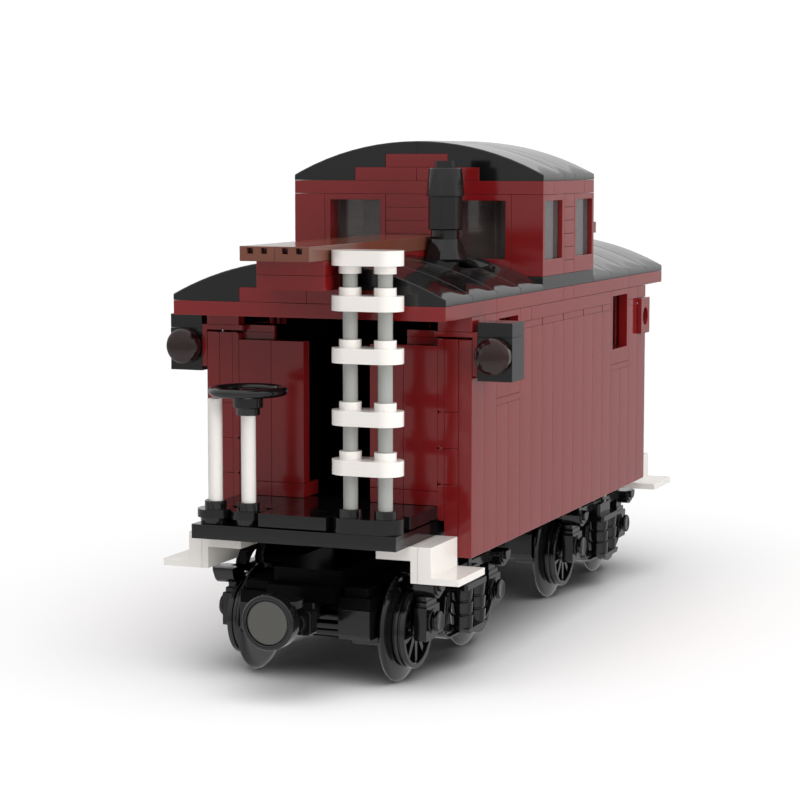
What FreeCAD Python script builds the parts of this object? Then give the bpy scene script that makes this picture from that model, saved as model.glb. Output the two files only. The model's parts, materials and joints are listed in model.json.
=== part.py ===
import FreeCAD, Part
import math
import os

# Brick-built model caboose, millimetres.  +Z up, +X right, the ladder end at -Y.
# The shapes are built with Z = 0 on top of the deck and are lifted at export, so that the
# origin of the part lies on the floor, under the middle of the car.

# ---- driving dimensions -------------------------------------------------------------------
STUD = 8.0                          # grid pitch
PLATE = 3.2                         # height of a plate or a tile
BRICK = 3 * PLATE
LEG = 1.6                           # thickness of a bracket's leg
STUD_R = 2.4
STUD_H = 1.7
BAR_R = 1.6
BAR_PLAY = 0.04                     # radial play between a bar and its hole
SEAM = 0.03                         # each brick is this much smaller on every face

HALF_LENGTH = 11.5 * STUD           # deck
DECK_X = 3 * STUD
WALL_X = 4 * STUD                   # outer face of the side planks
PLANK_X = WALL_X - PLATE
END_Y = 8.5 * STUD                  # outer face of the end walls
EAVE_Y = 10.5 * STUD
CUPOLA_Y = 2.5 * STUD
DOOR_X = STUD                       # half width of the doorway

WALL_LOW = -STUD                    # bottom of the planks
PLANKS = 17                         # planks to a side
COURSES = 5                         # courses of the inner wall
PLANK_TOP = COURSES * STUD
PANEL_LOW = 2 * PLATE               # end panels
PANEL_TOP = 12 * PLATE
HEADER_BACK = 2.0                   # how far the headers stand behind the face
LAMP_TUCK = 1.0                     # how far a lamp bracket reaches in over the wall
BRICK_BACK = 4.0
BRACKET_TOP = PLANK_TOP + LEG
EAVE_LOW = BRACKET_TOP + PLATE
EAVE_TOP = EAVE_LOW + PLATE
ARC_LIP = LEG                       # upright edge of a curved roof slope
ARC_RISE = STUD                     # rise of the curve from lip to crown
ROOF_TOP = EAVE_TOP + ARC_LIP + ARC_RISE
SLOPE_LENGTH = 2 * STUD
SLOPES = 4                          # slopes in a row, from the eave to the cupola
WALK_TOP = ROOF_TOP + PLATE
CUPOLA_LOW = EAVE_TOP + PLATE
WINDOW_H = 6 * PLATE
CUPOLA_SILL = CUPOLA_LOW + WINDOW_H
CUPOLA_TOP = CUPOLA_SILL + PLATE
WINDOW_LOW = EAVE_LOW - WINDOW_H
WINDOW_Y = (4.5 * STUD, 6.5 * STUD)
WINDOW_BAR = 1.45
WINDOW_FOOT = 3.9
PANE_BACK = 5.0                     # how far a pane stands behind the face
PANE_THICK = 1.0
PANE_PLAY = 0.05
LEG_ROUND = 0.7                     # rounding of a bracket's outer edges
LEG_INSET = 0.2                     # gap at the ends of the legs over the planks
TILE_GROOVE = 0.25
TILE_FOOT = 0.35
POCKET = (1.4, 2.0, 1.25)           # pocket in the end of a board: width, depth, height
POCKET_X = 1.6                      # from the middle of the board

PIVOT_Y = 6.5 * STUD                # bogie centre
AXLE_DY = 2.5 * STUD                # axle from bogie centre
AXLE_Z = -23.4
FLANGE_R = 12.0
TREAD_R = 8.8
RAIL_LEVEL = AXLE_Z - FLANGE_R      # lowest point of the wheels
WHEEL_IN = 16.0
WHEEL_OUT = 21.2
AXLE_R = 1.5
RUNNING = 0.05                      # radial clearance of a shaft in its bearing
MOVE_GAP = 0.3                      # clearance between parts that move past each other
JOIN = 0.1                          # how far two solids run into each other before they are fused

BOGIE_TOP = -BRICK
BOGIE_LOW = BOGIE_TOP - PLATE
FRAME_IN = 21.7
FRAME_OUT = 24.6
JOURNAL_LOW = -25.5
JOURNAL_TOP = -17.6
CHORD_TOP = -12.4
CHORD_LOW = -27.2
COUPLER_Y = -13.0 * STUD            # magnet face of the ladder end
COUPLER_Z = -17.7
COUPLER_PIVOT_Y = COUPLER_Y + 18.5
MAGNET_R = 4.75
HOUSING_R = 5.95


# ---- helpers ------------------------------------------------------------------------------
def vector(x, y, z):
    return FreeCAD.Vector(x, y, z)


def block(x0, x1, y0, y1, z0, z1, seam=SEAM):
    """A brick between grid planes, smaller by one seam on every face."""
    x0, x1 = min(x0, x1) + seam, max(x0, x1) - seam
    y0, y1 = min(y0, y1) + seam, max(y0, y1) - seam
    z0, z1 = min(z0, z1) + seam, max(z0, z1) - seam
    return Part.makeBox(x1 - x0, y1 - y0, z1 - z0, vector(x0, y0, z0))


def tile(x0, x1, y0, y1, z0, z1):
    """A tile: a block with the small groove that runs round its foot."""
    body = block(x0, x1, y0, y1, z0 + TILE_FOOT, z1)
    base = block(x0, x1, y0, y1, z0, z0 + 2 * TILE_FOOT, SEAM + TILE_GROOVE)
    return body.fuse(base).removeSplitter()


def rod(x, y, z0, z1, radius):
    """An upright cylinder."""
    return Part.makeCylinder(radius, z1 - z0, vector(x, y, z0), vector(0, 0, 1))


def rod_x(x0, x1, y, z, radius):
    """A cylinder along X."""
    return Part.makeCylinder(radius, x1 - x0, vector(x0, y, z), vector(1, 0, 0))


def rod_y(x, y0, y1, z, radius):
    """A cylinder along Y."""
    return Part.makeCylinder(radius, y1 - y0, vector(x, y0, z), vector(0, 1, 0))


def turned(shape):
    """The same piece at the other end of the car: half a turn about the vertical axis."""
    copy = shape.copy()
    copy.rotate(vector(0, 0, 0), vector(0, 0, 1), 180)
    return copy


def mirrored(shape):
    """The same piece on the other side of the car."""
    return shape.mirror(vector(0, 0, 0), vector(1, 0, 0))


def both_sides(shapes):
    return shapes + [mirrored(shape) for shape in shapes]


def both_ends(shapes):
    return shapes + [turned(shape) for shape in shapes]


def stadium(x0, x1, y, z0, z1, radius):
    """A flat piece with half-round ends, whose centre line runs along X."""
    left = x0 + radius
    right = x1 - radius
    bar = Part.makeBox(right - left, 2 * radius, z1 - z0, vector(left, y - radius, z0))
    ends = rod(left, y, z0, z1, radius).fuse(rod(right, y, z0, z1, radius))
    return bar.fuse(ends).removeSplitter()


def extrude_yz(points, x0, x1):
    """A prism along X from a closed outline in the YZ plane."""
    wire = Part.makePolygon([vector(x0, y, z) for y, z in points + points[:1]])
    return Part.Face(wire).extrude(vector(x1 - x0, 0, 0))


def export(name, shapes):
    """One STEP per node, lifted so that the wheels stand on Z = 0."""
    solids = []
    for shape in shapes:
        for solid in shape.Solids:
            lifted = solid.copy()
            lifted.translate(vector(0, 0, -RAIL_LEVEL))
            solids.append(lifted)
    whole = solids[0] if len(solids) == 1 else Part.makeCompound(solids)
    whole.exportStep("parts/" + name + ".step")


# ---- deck and cabin walls ----------------------------------------------------------------
def underframe():
    return [block(-DECK_X, DECK_X, -HALF_LENGTH, HALF_LENGTH, -PLATE, 0)]


def cabin_floor():
    return [block(-DECK_X, DECK_X, y, y + END_Y, 0, PLATE) for y in (-END_Y, 0)]


def deck_tiles():
    tiles = [tile(-STUD, STUD, -HALF_LENGTH, -EAVE_Y, 0, PLATE)]
    for x in (-3, -1, 1):
        tiles.append(tile(x * STUD, (x + 2) * STUD, -EAVE_Y, -END_Y, 0, PLATE))
    return both_ends(tiles)


def in_window(y):
    """True where the column of planks that starts at y stands under a side window."""
    low, high = WINDOW_Y
    return low <= y < high or -high <= y < -low


def side_planks():
    planks = []
    for column in range(PLANKS):
        y = -END_Y + column * STUD
        top = WINDOW_LOW - LEG if in_window(y) else PLANK_TOP
        planks.append(block(PLANK_X, WALL_X, y, y + STUD, WALL_LOW, top))
    return both_sides(planks)


def wall_core():
    """Inner courses of the side walls, open at the windows, and the bricks behind the panels."""
    inner = END_Y - STUD
    middle = 1.5 * STUD
    joints = [-inner, -WINDOW_Y[1], -WINDOW_Y[0], -middle, middle, WINDOW_Y[0], WINDOW_Y[1], inner]
    bricks = []
    for y0, y1 in zip(joints, joints[1:]):
        for course in range(COURSES):
            z = course * STUD
            if z >= 3 * STUD and in_window(y0):
                continue
            bricks.append(block(DECK_X, PLANK_X, y0, y1, z, z + STUD))
    for y0 in (-END_Y, inner):
        bricks.append(block(DECK_X + LEG, PLANK_X, y0, y0 + STUD, WALL_LOW, STUD))
        for course in (1, 2):
            z = course * STUD
            bricks.append(block(DECK_X + LEG, PLANK_X, y0, y0 + STUD, z, z + STUD))
        bricks.append(block(DECK_X + LEG, PLANK_X, y0, y0 + STUD, 3 * STUD, PLANK_TOP))
    for y0 in (-END_Y + PLATE, inner):
        bricks.append(block(DOOR_X + LEG, DECK_X, y0, y0 + STUD - PLATE, PANEL_LOW, PANEL_TOP))
    return both_sides(bricks)


def rounded_leg(x0, x1, y0, y1, z0, z1, edge_x, radius):
    """A bracket leg whose two edges along Y on the side edge_x are rounded."""
    leg = block(x0, x1, y0, y1, z0, z1)
    chosen = []
    for edge in leg.Edges:
        middle = edge.BoundBox.Center
        along_y = edge.BoundBox.YLength > 1.0
        if along_y and abs(middle.x - edge_x) < 2 * SEAM:
            chosen.append(edge)
    return leg.makeFillet(radius, chosen)


# Joints of the rows over the planks, in studs from the middle of the car.
BRACKET_ROW = ((-7.5, -6.5), (-4.5, -2.5), (-2.5, -0.5), (-0.5, 1.5), (1.5, 3.5), (3.5, 4.5), (6.5, 7.5))
EAVE_ROW = ((-8.5, -7.5), (-7.5, -6.5), (-4.5, -3.5), (-3.5, 4.5), (6.5, 7.5), (7.5, 8.5))
SLAB_JOINTS = (-10.5, -6.5, -0.5, 0.5, 6.5, 10.5)


def bracket_plates():
    """Thin bracket legs: corner strips, the row over the planks and the sills under windows."""
    pieces = []
    for z0, z1 in ((0, STUD), (STUD, 2 * STUD), (2 * STUD, 3 * STUD), (3 * STUD, PLANK_TOP)):
        for y in (-END_Y, END_Y - STUD):
            leg = rounded_leg(DECK_X, DECK_X + LEG, y, y + STUD, z0, z1, DECK_X, LEG_ROUND)
            pieces.append(leg)
    for y0, y1 in BRACKET_ROW:
        y0, y1 = y0 * STUD + LEG_INSET, y1 * STUD - LEG_INSET
        pieces.append(block(DECK_X, WALL_X, y0, y1, PLANK_TOP, BRACKET_TOP))
    for y0, y1 in ((-WINDOW_Y[1], -WINDOW_Y[0]), WINDOW_Y):
        pieces.append(block(DECK_X, WALL_X, y0, y1, WINDOW_LOW - LEG, WINDOW_LOW))
    return both_sides(pieces)


def eave_plates():
    plates = []
    for y0, y1 in EAVE_ROW:
        plates.append(block(DECK_X, WALL_X, y0 * STUD, y1 * STUD, BRACKET_TOP, EAVE_LOW))
    return both_sides(plates)


def window_frame(x0, x1, y0, y1, z0):
    """A window element two studs wide and six plates high, open through its depth in X."""
    frame = block(x0, x1, y0, y1, z0, z0 + WINDOW_H)
    hole = Part.makeBox(
        x1 - x0 + 2,
        y1 - y0 - 2 * WINDOW_BAR,
        WINDOW_H - WINDOW_FOOT - WINDOW_BAR,
        vector(x0 - 1, y0 + WINDOW_BAR, z0 + WINDOW_FOOT),
    )
    return frame.cut(hole)


def quarter_turned(shape, x, y):
    """The shape turned a quarter about an upright line through x, y."""
    copy = shape.copy()
    copy.rotate(vector(x, y, 0), vector(0, 0, 1), 90)
    return copy


def side_windows():
    frames = []
    for y0 in (-WINDOW_Y[1], WINDOW_Y[0]):
        frames.append(window_frame(DECK_X, WALL_X, y0, y0 + 2 * STUD, WINDOW_LOW))
    return both_sides(frames)


def end_panels():
    panels = []
    for x in (STUD, 2 * STUD):
        panels.append(block(x, x + STUD, -END_Y, -END_Y + PLATE, PANEL_LOW, PANEL_TOP))
    return both_ends(both_sides(panels))


def end_sills():
    sills = []
    for x in (STUD, 2 * STUD):
        sills.append(block(x, x + STUD, -END_Y, -END_Y + STUD, PLATE, 2 * PLATE))
    return both_ends(both_sides(sills))


def end_headers():
    """Plates and blocks in the gap over the end panels, set back from the face."""
    deep = -END_Y + HEADER_BACK
    inner = -END_Y + STUD
    headers = [
        block(2 * STUD, DECK_X, deep, inner, PANEL_TOP, PLANK_TOP),
        block(2 * STUD, DECK_X - LAMP_TUCK, deep, inner, PLANK_TOP, BRACKET_TOP),
        block(1.5 * STUD, 2 * STUD, -END_Y + BRICK_BACK, inner, PANEL_TOP, BRACKET_TOP),
    ]
    return both_ends(both_sides(headers))


def header_bricks():
    """Black bricks behind the headers, on both sides of the doorway."""
    inner = -END_Y + STUD
    return both_ends(both_sides([block(STUD, 2 * STUD, inner, inner + STUD, PANEL_TOP, EAVE_LOW)]))


# ---- roof ---------------------------------------------------------------------------------
def eave_slabs():
    slabs = []
    for y0, y1 in zip(SLAB_JOINTS, SLAB_JOINTS[1:]):
        slabs.append(block(-WALL_X, WALL_X, y0 * STUD, y1 * STUD, EAVE_LOW, EAVE_TOP))
    return slabs


def arc_slope(base, x_in, steps, y0, y1):
    """Half of an arched roof: a hollow curved slope from x_in out to the wall.

    base is the height of its lower edge and steps is the stepped underside, from the
    eave inwards, as (x, z) corners."""
    crown = base + ARC_LIP + ARC_RISE
    radius = (WALL_X ** 2 + ARC_RISE ** 2) / (2 * ARC_RISE)
    centre = crown - radius

    def height(x):
        return centre + math.sqrt(radius ** 2 - x ** 2) - SEAM

    outer = WALL_X - SEAM
    inner = x_in + SEAM
    y0, y1 = y0 + SEAM, y1 - SEAM
    lip = vector(outer, y0, height(outer))
    ridge = vector(inner, y0, height(inner))
    middle = vector((outer + inner) / 2, y0, height((outer + inner) / 2))
    corners = [vector(inner, y0, steps[-1][1] + SEAM)]
    corners += [vector(x + SEAM, y0, z + SEAM) for x, z in reversed(steps)]
    corners.append(vector(outer, y0, base + SEAM))
    edges = [Part.Arc(lip, middle, ridge).toShape()]
    path = [ridge] + corners + [lip]
    for start, end in zip(path, path[1:]):
        if start.distanceToPoint(end) > 1e-6:
            edges.append(Part.LineSegment(start, end).toShape())
    face = Part.Face(Part.Wire(Part.__sortEdges__(edges)))
    return face.extrude(vector(0, y1 - y0, 0))


def main_slopes():
    """The four slopes of one side at the ladder end, stepped underneath over the spine."""
    steps = [(2 * STUD, EAVE_TOP), (2 * STUD, CUPOLA_LOW), (STUD, CUPOLA_LOW)]
    slopes = []
    for index in range(SLOPES):
        y = -EAVE_Y + index * SLOPE_LENGTH
        slopes.append(arc_slope(EAVE_TOP, STUD, steps, y, y + SLOPE_LENGTH))
    return slopes


RECESS_X = 21.5                     # outer edge of the recess round the chimney
RECESS_MARGIN = 0.6


def roof_slopes_right():
    """Both ends of the right-hand side, with the recess round the chimney."""
    y = -5.5 * STUD
    length = SLOPE_LENGTH + RECESS_MARGIN
    low = CUPOLA_LOW - RECESS_MARGIN
    recess = Part.makeBox(RECESS_X - STUD / 2, length, 2 * BRICK, vector(STUD / 2, y, low))
    front = [slope.cut(recess) for slope in main_slopes()]
    back = [turned(mirrored(slope)) for slope in main_slopes()]
    return front + back


def roof_slopes_left():
    return [mirrored(slope) for slope in main_slopes()] + [turned(slope) for slope in main_slopes()]


def roof_spine():
    """Plates under the crown: a wide lower row and two narrow rows that stand forward."""
    rows = []
    for x0, x1 in ((-2 * STUD, 0), (0, 2 * STUD)):
        rows.append(block(x0, x1, -EAVE_Y, -CUPOLA_Y, EAVE_TOP, CUPOLA_LOW))
    for course in (1, 2):
        z = EAVE_TOP + course * PLATE
        rows.append(block(-STUD, STUD, -HALF_LENGTH, -CUPOLA_Y, z, z + PLATE))
    return both_ends(rows)


def roof_walk():
    """Two boards side by side at each end, with two small pockets in each outer end."""
    width, depth, height = POCKET
    outer = -HALF_LENGTH - STUD
    boards = []
    for x in (-STUD, 0):
        board = block(x, x + STUD, outer, -CUPOLA_Y, ROOF_TOP, WALK_TOP)
        for offset in (-POCKET_X, POCKET_X):
            corner = vector(x + (STUD - width) / 2 + offset, outer, WALK_TOP - PLATE / 2)
            board = board.cut(Part.makeBox(width, depth, height, corner))
        boards.append(board)
    return both_ends(boards)


# ---- cupola -------------------------------------------------------------------------------
def cupola_base():
    return [block(-WALL_X, WALL_X, -CUPOLA_Y, CUPOLA_Y, EAVE_TOP, CUPOLA_LOW)]


def cupola_windows():
    frames = []
    for y0 in (-CUPOLA_Y, STUD / 2):
        frames.append(window_frame(DECK_X, WALL_X, y0, y0 + 2 * STUD, CUPOLA_LOW))
    end = window_frame(-STUD / 2, STUD / 2, -STUD, STUD, CUPOLA_LOW)
    for y in (-CUPOLA_Y + STUD / 2, CUPOLA_Y - STUD / 2):
        frame = quarter_turned(end, 0, 0)
        frame.translate(vector(2 * STUD, y, 0))
        frames.append(frame)
    return both_sides(frames)


def cupola_panes():
    """Tinted panes, set back in the frames."""
    low = CUPOLA_LOW + WINDOW_FOOT + PANE_PLAY
    high = CUPOLA_SILL - WINDOW_BAR - PANE_PLAY
    edge = WINDOW_BAR + PANE_PLAY
    panes = []
    for y0 in (-CUPOLA_Y, STUD / 2):
        x = WALL_X - PANE_BACK
        panes.append(block(x - PANE_THICK, x, y0 + edge, y0 + 2 * STUD - edge, low, high))
    for end in (-1, 1):
        y = end * (CUPOLA_Y - PANE_BACK)
        panes.append(block(STUD + edge, DECK_X - edge, y, y - end * PANE_THICK, low, high))
    return both_sides(panes)


def cupola_stacks():
    """Stacks of six plates between the windows, on the sides and the ends."""
    plates = []
    for course in range(6):
        z = CUPOLA_LOW + course * PLATE
        for side in (-1, 1):
            plates.append(block(side * DECK_X, side * WALL_X, -STUD / 2, STUD / 2, z, z + PLATE))
        for y in (-CUPOLA_Y, CUPOLA_Y - STUD):
            plates.append(block(-STUD, STUD, y, y + STUD, z, z + PLATE))
    return plates


def cupola_top_rows():
    """The closing row over the windows and the stepped gables over the ends."""
    inner = CUPOLA_Y - STUD
    rows = []
    for side in (-1, 1):
        rows.append(block(side * DECK_X, side * WALL_X, -inner, inner, CUPOLA_SILL, CUPOLA_TOP))
    for y in (-CUPOLA_Y, inner):
        rows.append(block(-WALL_X, WALL_X, y, y + STUD, CUPOLA_SILL, CUPOLA_TOP))
        for x in (-2 * STUD, 0):
            rows.append(block(x, x + 2 * STUD, y, y + STUD, CUPOLA_TOP, CUPOLA_TOP + PLATE))
        rows.append(block(-STUD, STUD, y, y + STUD, CUPOLA_TOP + PLATE, CUPOLA_TOP + 2 * PLATE))
    return rows


def cupola_roof():
    first = CUPOLA_TOP + PLATE
    second = first + PLATE
    steps = [(2 * STUD, CUPOLA_TOP), (2 * STUD, first), (STUD, first), (STUD, second), (0, second)]
    slopes = []
    for y0, y1 in ((-CUPOLA_Y, -STUD / 2), (-STUD / 2, STUD / 2), (STUD / 2, CUPOLA_Y)):
        slopes.append(arc_slope(CUPOLA_TOP, 0, steps, y0, y1))
    return both_sides(slopes)


# ---- chimney ------------------------------------------------------------------------------
CHIMNEY = (1.5 * STUD, -4 * STUD)
SEAT_R = 3.2
FOOT_LOW = 55.5                     # the foot flares from here up to the neck
FOOT_TOP = 60.2
FOOT_R = 4.5
NECK_R = 2.9
BARREL_LOW = 62.3
BARREL_TOP = 70.1
BARREL_R = STUD / 2
CAP_TOP = 76.7
CAP_R = (4.2, 3.9)                  # at its foot and at its top
CAP_STUD_R = 2.45


def cone(z0, z1, r0, r1):
    return Part.makeCone(r0, r1, z1 - z0, vector(CHIMNEY[0], CHIMNEY[1], z0), vector(0, 0, 1))


def chimney_base():
    """Seat, flared foot and neck.  A flat clears the roof walk beside it."""
    seat = rod(*CHIMNEY, CUPOLA_LOW + SEAM, FOOT_LOW, SEAT_R)
    foot = cone(FOOT_LOW, FOOT_TOP, FOOT_R, SEAT_R)
    neck = rod(*CHIMNEY, FOOT_TOP, BARREL_LOW, NECK_R)
    corner = vector(2 * SEAM, CHIMNEY[1] - STUD, CUPOLA_LOW)
    flat = Part.makeBox(STUD, 2 * STUD, 2 * BRICK, corner)
    return [seat.fuse([foot, neck]).removeSplitter().cut(flat)]


def chimney_body():
    return [rod(*CHIMNEY, BARREL_LOW + SEAM, BARREL_TOP, BARREL_R - SEAM)]


def chimney_cap():
    taper = cone(BARREL_TOP + SEAM, CAP_TOP, *CAP_R)
    return [taper.fuse(rod(*CHIMNEY, CAP_TOP, CAP_TOP + STUD_H, CAP_STUD_R)).removeSplitter()]


# ---- ladder, posts and brake wheel --------------------------------------------------------
BAR_Y = -HALF_LENGTH + STUD / 2
RAILS_X = (1.5 * STUD, 2.5 * STUD)
POSTS_X = (-2.5 * STUD, -1.5 * STUD)
RUNGS_Z = (12.4, 22.9, 36.1, 47.1)
TOP_RUNG_Z = 56.6
RAIL_POST_TOP = 27.2
BRAKE_POST_TOP = 26.4
POST_TOPS = (RAIL_POST_TOP, BRAKE_POST_TOP)
SOCKET_FOOT_R = 3.3
SOCKET_FOOT_TOP = 1.5


def ladder_rails():
    foot = PLATE / 2
    rails = [rod(x, BAR_Y, foot, TOP_RUNG_Z + PLATE / 2, BAR_R) for x in RAILS_X]
    return both_ends(rails)


def holed(piece, places, z0, z1):
    """The piece with an upright bar hole at each place."""
    for x in places:
        piece = piece.cut(rod(x, BAR_Y, z0, z1, BAR_R + BAR_PLAY))
    return piece


def rung(z, collar_z):
    """A round-ended plate of two studs with hollow collars on one side."""
    piece = stadium(STUD + SEAM, DECK_X - SEAM, BAR_Y, z, z + PLATE, STUD / 2 - SEAM)
    collars = [rod(x, BAR_Y, collar_z, collar_z + STUD_H + JOIN, STUD_R) for x in RAILS_X]
    return piece.fuse(collars).removeSplitter()


def ladder_rungs():
    rungs = []
    for z in RUNGS_Z:
        rungs.append(holed(rung(z, z + PLATE - JOIN), RAILS_X, z - 1, z + 2 * PLATE))
    top = rung(TOP_RUNG_Z, TOP_RUNG_Z - STUD_H)
    rungs.append(holed(top, RAILS_X, TOP_RUNG_Z - PLATE, TOP_RUNG_Z + PLATE / 2 + JOIN))
    return both_ends(rungs)


def bar_sockets():
    """Black feet: a two-stud round-ended plate for the ladder and round plates for posts."""
    bottom = PLATE / 2 - JOIN
    ladder_foot = holed(rung(SEAM, PLATE - JOIN), RAILS_X, bottom, BRICK)
    feet = [ladder_foot]
    for x in POSTS_X:
        foot = rod(x, BAR_Y, SEAM, SOCKET_FOOT_TOP, SOCKET_FOOT_R)
        disc = rod(x, BAR_Y, SOCKET_FOOT_TOP - JOIN, PLATE, STUD / 2 - SEAM)
        collar = rod(x, BAR_Y, PLATE - JOIN, PLATE + STUD_H, STUD_R)
        socket = foot.fuse([disc, collar]).removeSplitter()
        feet.append(holed(socket, (x,), bottom, BRICK))
    return both_ends(feet)


def porch_posts():
    return both_ends([rod(x, BAR_Y, PLATE / 2, top, BAR_R) for x, top in zip(POSTS_X, POST_TOPS)])


RING_Z = 29.1
RING_R = 7.6
RING_WIRE = 1.0
HUB_LOW = 23.9
HUB_TOP = 27.9
HUB_R = 3.1
CROWN_TOP = 29.4
CROWN_R = 1.9
SPOKE = (1.5, 1.1)                  # width and height of a spoke of the hand wheel
NOTCH = (1.6, 0.7)                  # width and depth of the notch in the hub


def brake_wheel():
    """A hand wheel on a notched hub, which turns on the top of its post."""
    x = POSTS_X[1]
    wheel = rod(x, BAR_Y, HUB_LOW, HUB_TOP, HUB_R)
    crown = rod(x, BAR_Y, HUB_TOP - JOIN, CROWN_TOP, CROWN_R)
    ring = Part.makeTorus(RING_R, RING_WIRE, vector(x, BAR_Y, RING_Z), vector(0, 0, 1))
    wheel = wheel.fuse([crown, ring])
    width, height = SPOKE
    for quarter in range(4):
        spoke = Part.makeBox(RING_R, width, height, vector(0, -width / 2, CROWN_TOP - height))
        spoke.rotate(vector(0, 0, 0), vector(0, 0, 1), quarter * 90 + 45)
        spoke.translate(vector(x, BAR_Y, 0))
        wheel = wheel.fuse(spoke)
    width, depth = NOTCH
    corner = vector(x - width / 2, BAR_Y - HUB_R - depth, HUB_LOW - JOIN)
    notch = Part.makeBox(width, 2 * depth, HUB_TOP - HUB_LOW, corner)
    bore = rod(x, BAR_Y, HUB_LOW - JOIN, BRAKE_POST_TOP + MOVE_GAP, BAR_R + BAR_PLAY)
    return [wheel.cut(bore).cut(notch).removeSplitter()]


# ---- lamps and steps ----------------------------------------------------------------------
LAMP_LEG = 1.2
LAMP_X = WALL_X + LAMP_LEG
LAMP_LOW = 31.0
LAMP_STUD_Z = LAMP_LOW + 5.6
LAMP_STUD_H = 1.2
LENS_GROOVE = 0.4
LENS_FOOT_R = STUD / 2 - 0.3


def lamp_bracket(pierced):
    """An L over the corner: a bar on the planks and a leg down the outside."""
    bar_x = DECK_X - LAMP_TUCK
    bar = block(bar_x, LAMP_X, -END_Y, -END_Y + STUD, BRACKET_TOP - LAMP_LEG, BRACKET_TOP)
    leg = block(WALL_X, LAMP_X, -END_Y, -END_Y + STUD, PLANK_TOP - STUD, BRACKET_TOP)
    bracket = bar.fuse(leg).removeSplitter()
    if pierced:
        hole = rod_x(WALL_X - 1, LAMP_X + 1, -END_Y + STUD / 2, LAMP_STUD_Z, STUD_R)
        bracket = bracket.cut(hole)
    return bracket


def lamp_brackets():
    front = both_sides([lamp_bracket(False)])
    rear = [turned(shape) for shape in both_sides([lamp_bracket(True)])]
    return front + rear


def lamp_housings():
    box = block(LAMP_X, LAMP_X + STUD, -END_Y, -END_Y + STUD, LAMP_LOW, LAMP_LOW + BRICK)
    x = LAMP_X + STUD / 2
    stud = rod_y(x, -END_Y - LAMP_STUD_H, -END_Y + JOIN, LAMP_STUD_Z, STUD_R)
    return both_sides([box.fuse(stud).removeSplitter()])


def lamp_caps():
    z = LAMP_LOW + BRICK
    return both_sides([block(LAMP_X, LAMP_X + STUD, -END_Y, -END_Y + STUD, z, z + PLATE)])


def lamp_lenses():
    """Round translucent tiles with a groove at the back, on the studs of the housings."""
    x = LAMP_X + STUD / 2
    face = rod_y(x, -END_Y - PLATE, -END_Y - LENS_GROOVE, LAMP_STUD_Z, STUD / 2)
    foot = rod_y(x, -END_Y - LENS_GROOVE - JOIN, -END_Y - SEAM, LAMP_STUD_Z, LENS_FOOT_R)
    socket = rod_y(x, -END_Y - LAMP_STUD_H - JOIN, -END_Y, LAMP_STUD_Z, STUD_R + SEAM)
    return both_sides([face.fuse(foot).removeSplitter().cut(socket)])


STEP_LOW = -11.2


def step_brackets():
    """Inner brackets: a plate under the deck and a leg down its side."""
    plate = block(2 * STUD, DECK_X + LEG, -EAVE_Y, -END_Y, -2 * PLATE, -PLATE)
    leg = block(DECK_X, DECK_X + LEG, -EAVE_Y, -END_Y, STEP_LOW, -PLATE)
    return both_ends(both_sides([plate.fuse(leg).removeSplitter()]))


def step_treads():
    """Outer brackets: an upright plate and the tread that stands out from its foot."""
    upright = block(DECK_X + LEG, PLANK_X, -EAVE_Y, -END_Y, STEP_LOW, -PLATE)
    tread = block(DECK_X + LEG, PLANK_X + 2 * PLATE, -EAVE_Y, -END_Y, STEP_LOW, STEP_LOW + LEG)
    return both_ends(both_sides([upright.fuse(tread).removeSplitter()]))


# ---- bogies -------------------------------------------------------------------------------
# Each bogie is built at the ladder end, about its pivot at Y = -PIVOT_Y.
PIN_R = 2.35
PIN_HOLE_R = 2.4
PIN_HEAD_R = 3.6
PIN_HEAD_LOW = BOGIE_LOW - 1.5
BOLSTER_R = STUD - 0.5
SHORT = 0.1                         # gap between faces that turn against each other
DRAW_PIN_R = 1.5
DRAW_PIN_LOW = -21.9


def at_pivot(shape):
    copy = shape.copy()
    copy.translate(vector(0, -PIVOT_Y, 0))
    return copy


def bolsters():
    """Round plates under the deck that each bogie turns against."""
    pad = block(-STUD, STUD, -STUD, STUD, -2 * PLATE, -PLATE)
    disc = rod(0, 0, BOGIE_TOP + SHORT, -2 * PLATE + SEAM, BOLSTER_R)
    hole = rod(0, 0, BOGIE_LOW, 0, PIN_HOLE_R)
    return both_ends([at_pivot(pad.fuse(disc).removeSplitter().cut(hole))])


def pivot_pins():
    shank = rod(0, 0, BOGIE_LOW - SHORT, -PLATE - SEAM, PIN_R)
    head = rod(0, 0, PIN_HEAD_LOW, BOGIE_LOW - SHORT, PIN_HEAD_R)
    return both_ends([at_pivot(shank.fuse(head).removeSplitter())])


def bogie_plate():
    """The long plate of the bogie, its cross member and the draw plate in front."""
    reach = 4 * STUD
    plate = block(-STUD, STUD, -reach, reach, BOGIE_LOW, BOGIE_TOP)
    hole = rod(0, 0, BOGIE_LOW - 1, BOGIE_TOP + 1, PIN_HOLE_R)
    draw = block(-STUD, STUD, -reach - STUD / 2, -reach + STUD, BOGIE_LOW - PLATE, BOGIE_LOW)
    link = Part.makeBox(STUD, STUD / 2, 2 * JOIN, vector(-STUD / 2, -reach + LEG, BOGIE_LOW - JOIN))
    pin_top = BOGIE_LOW - PLATE + 5 * JOIN
    pin = rod(0, COUPLER_PIVOT_Y + PIVOT_Y, DRAW_PIN_LOW, pin_top, DRAW_PIN_R)
    return [at_pivot(plate.cut(hole).fuse([draw, link, pin]).removeSplitter())]


HOLDER_LOW = -24.0                  # under edge of an axle holder and of its pedestals
HOLDER_FOOT = -26.6
HOLDER_CHAMFER = 0.8
FOOT_HALF = 4.5
AXLE_CLEAR = 0.5                    # radial clearance of the axle in its holder


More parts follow.
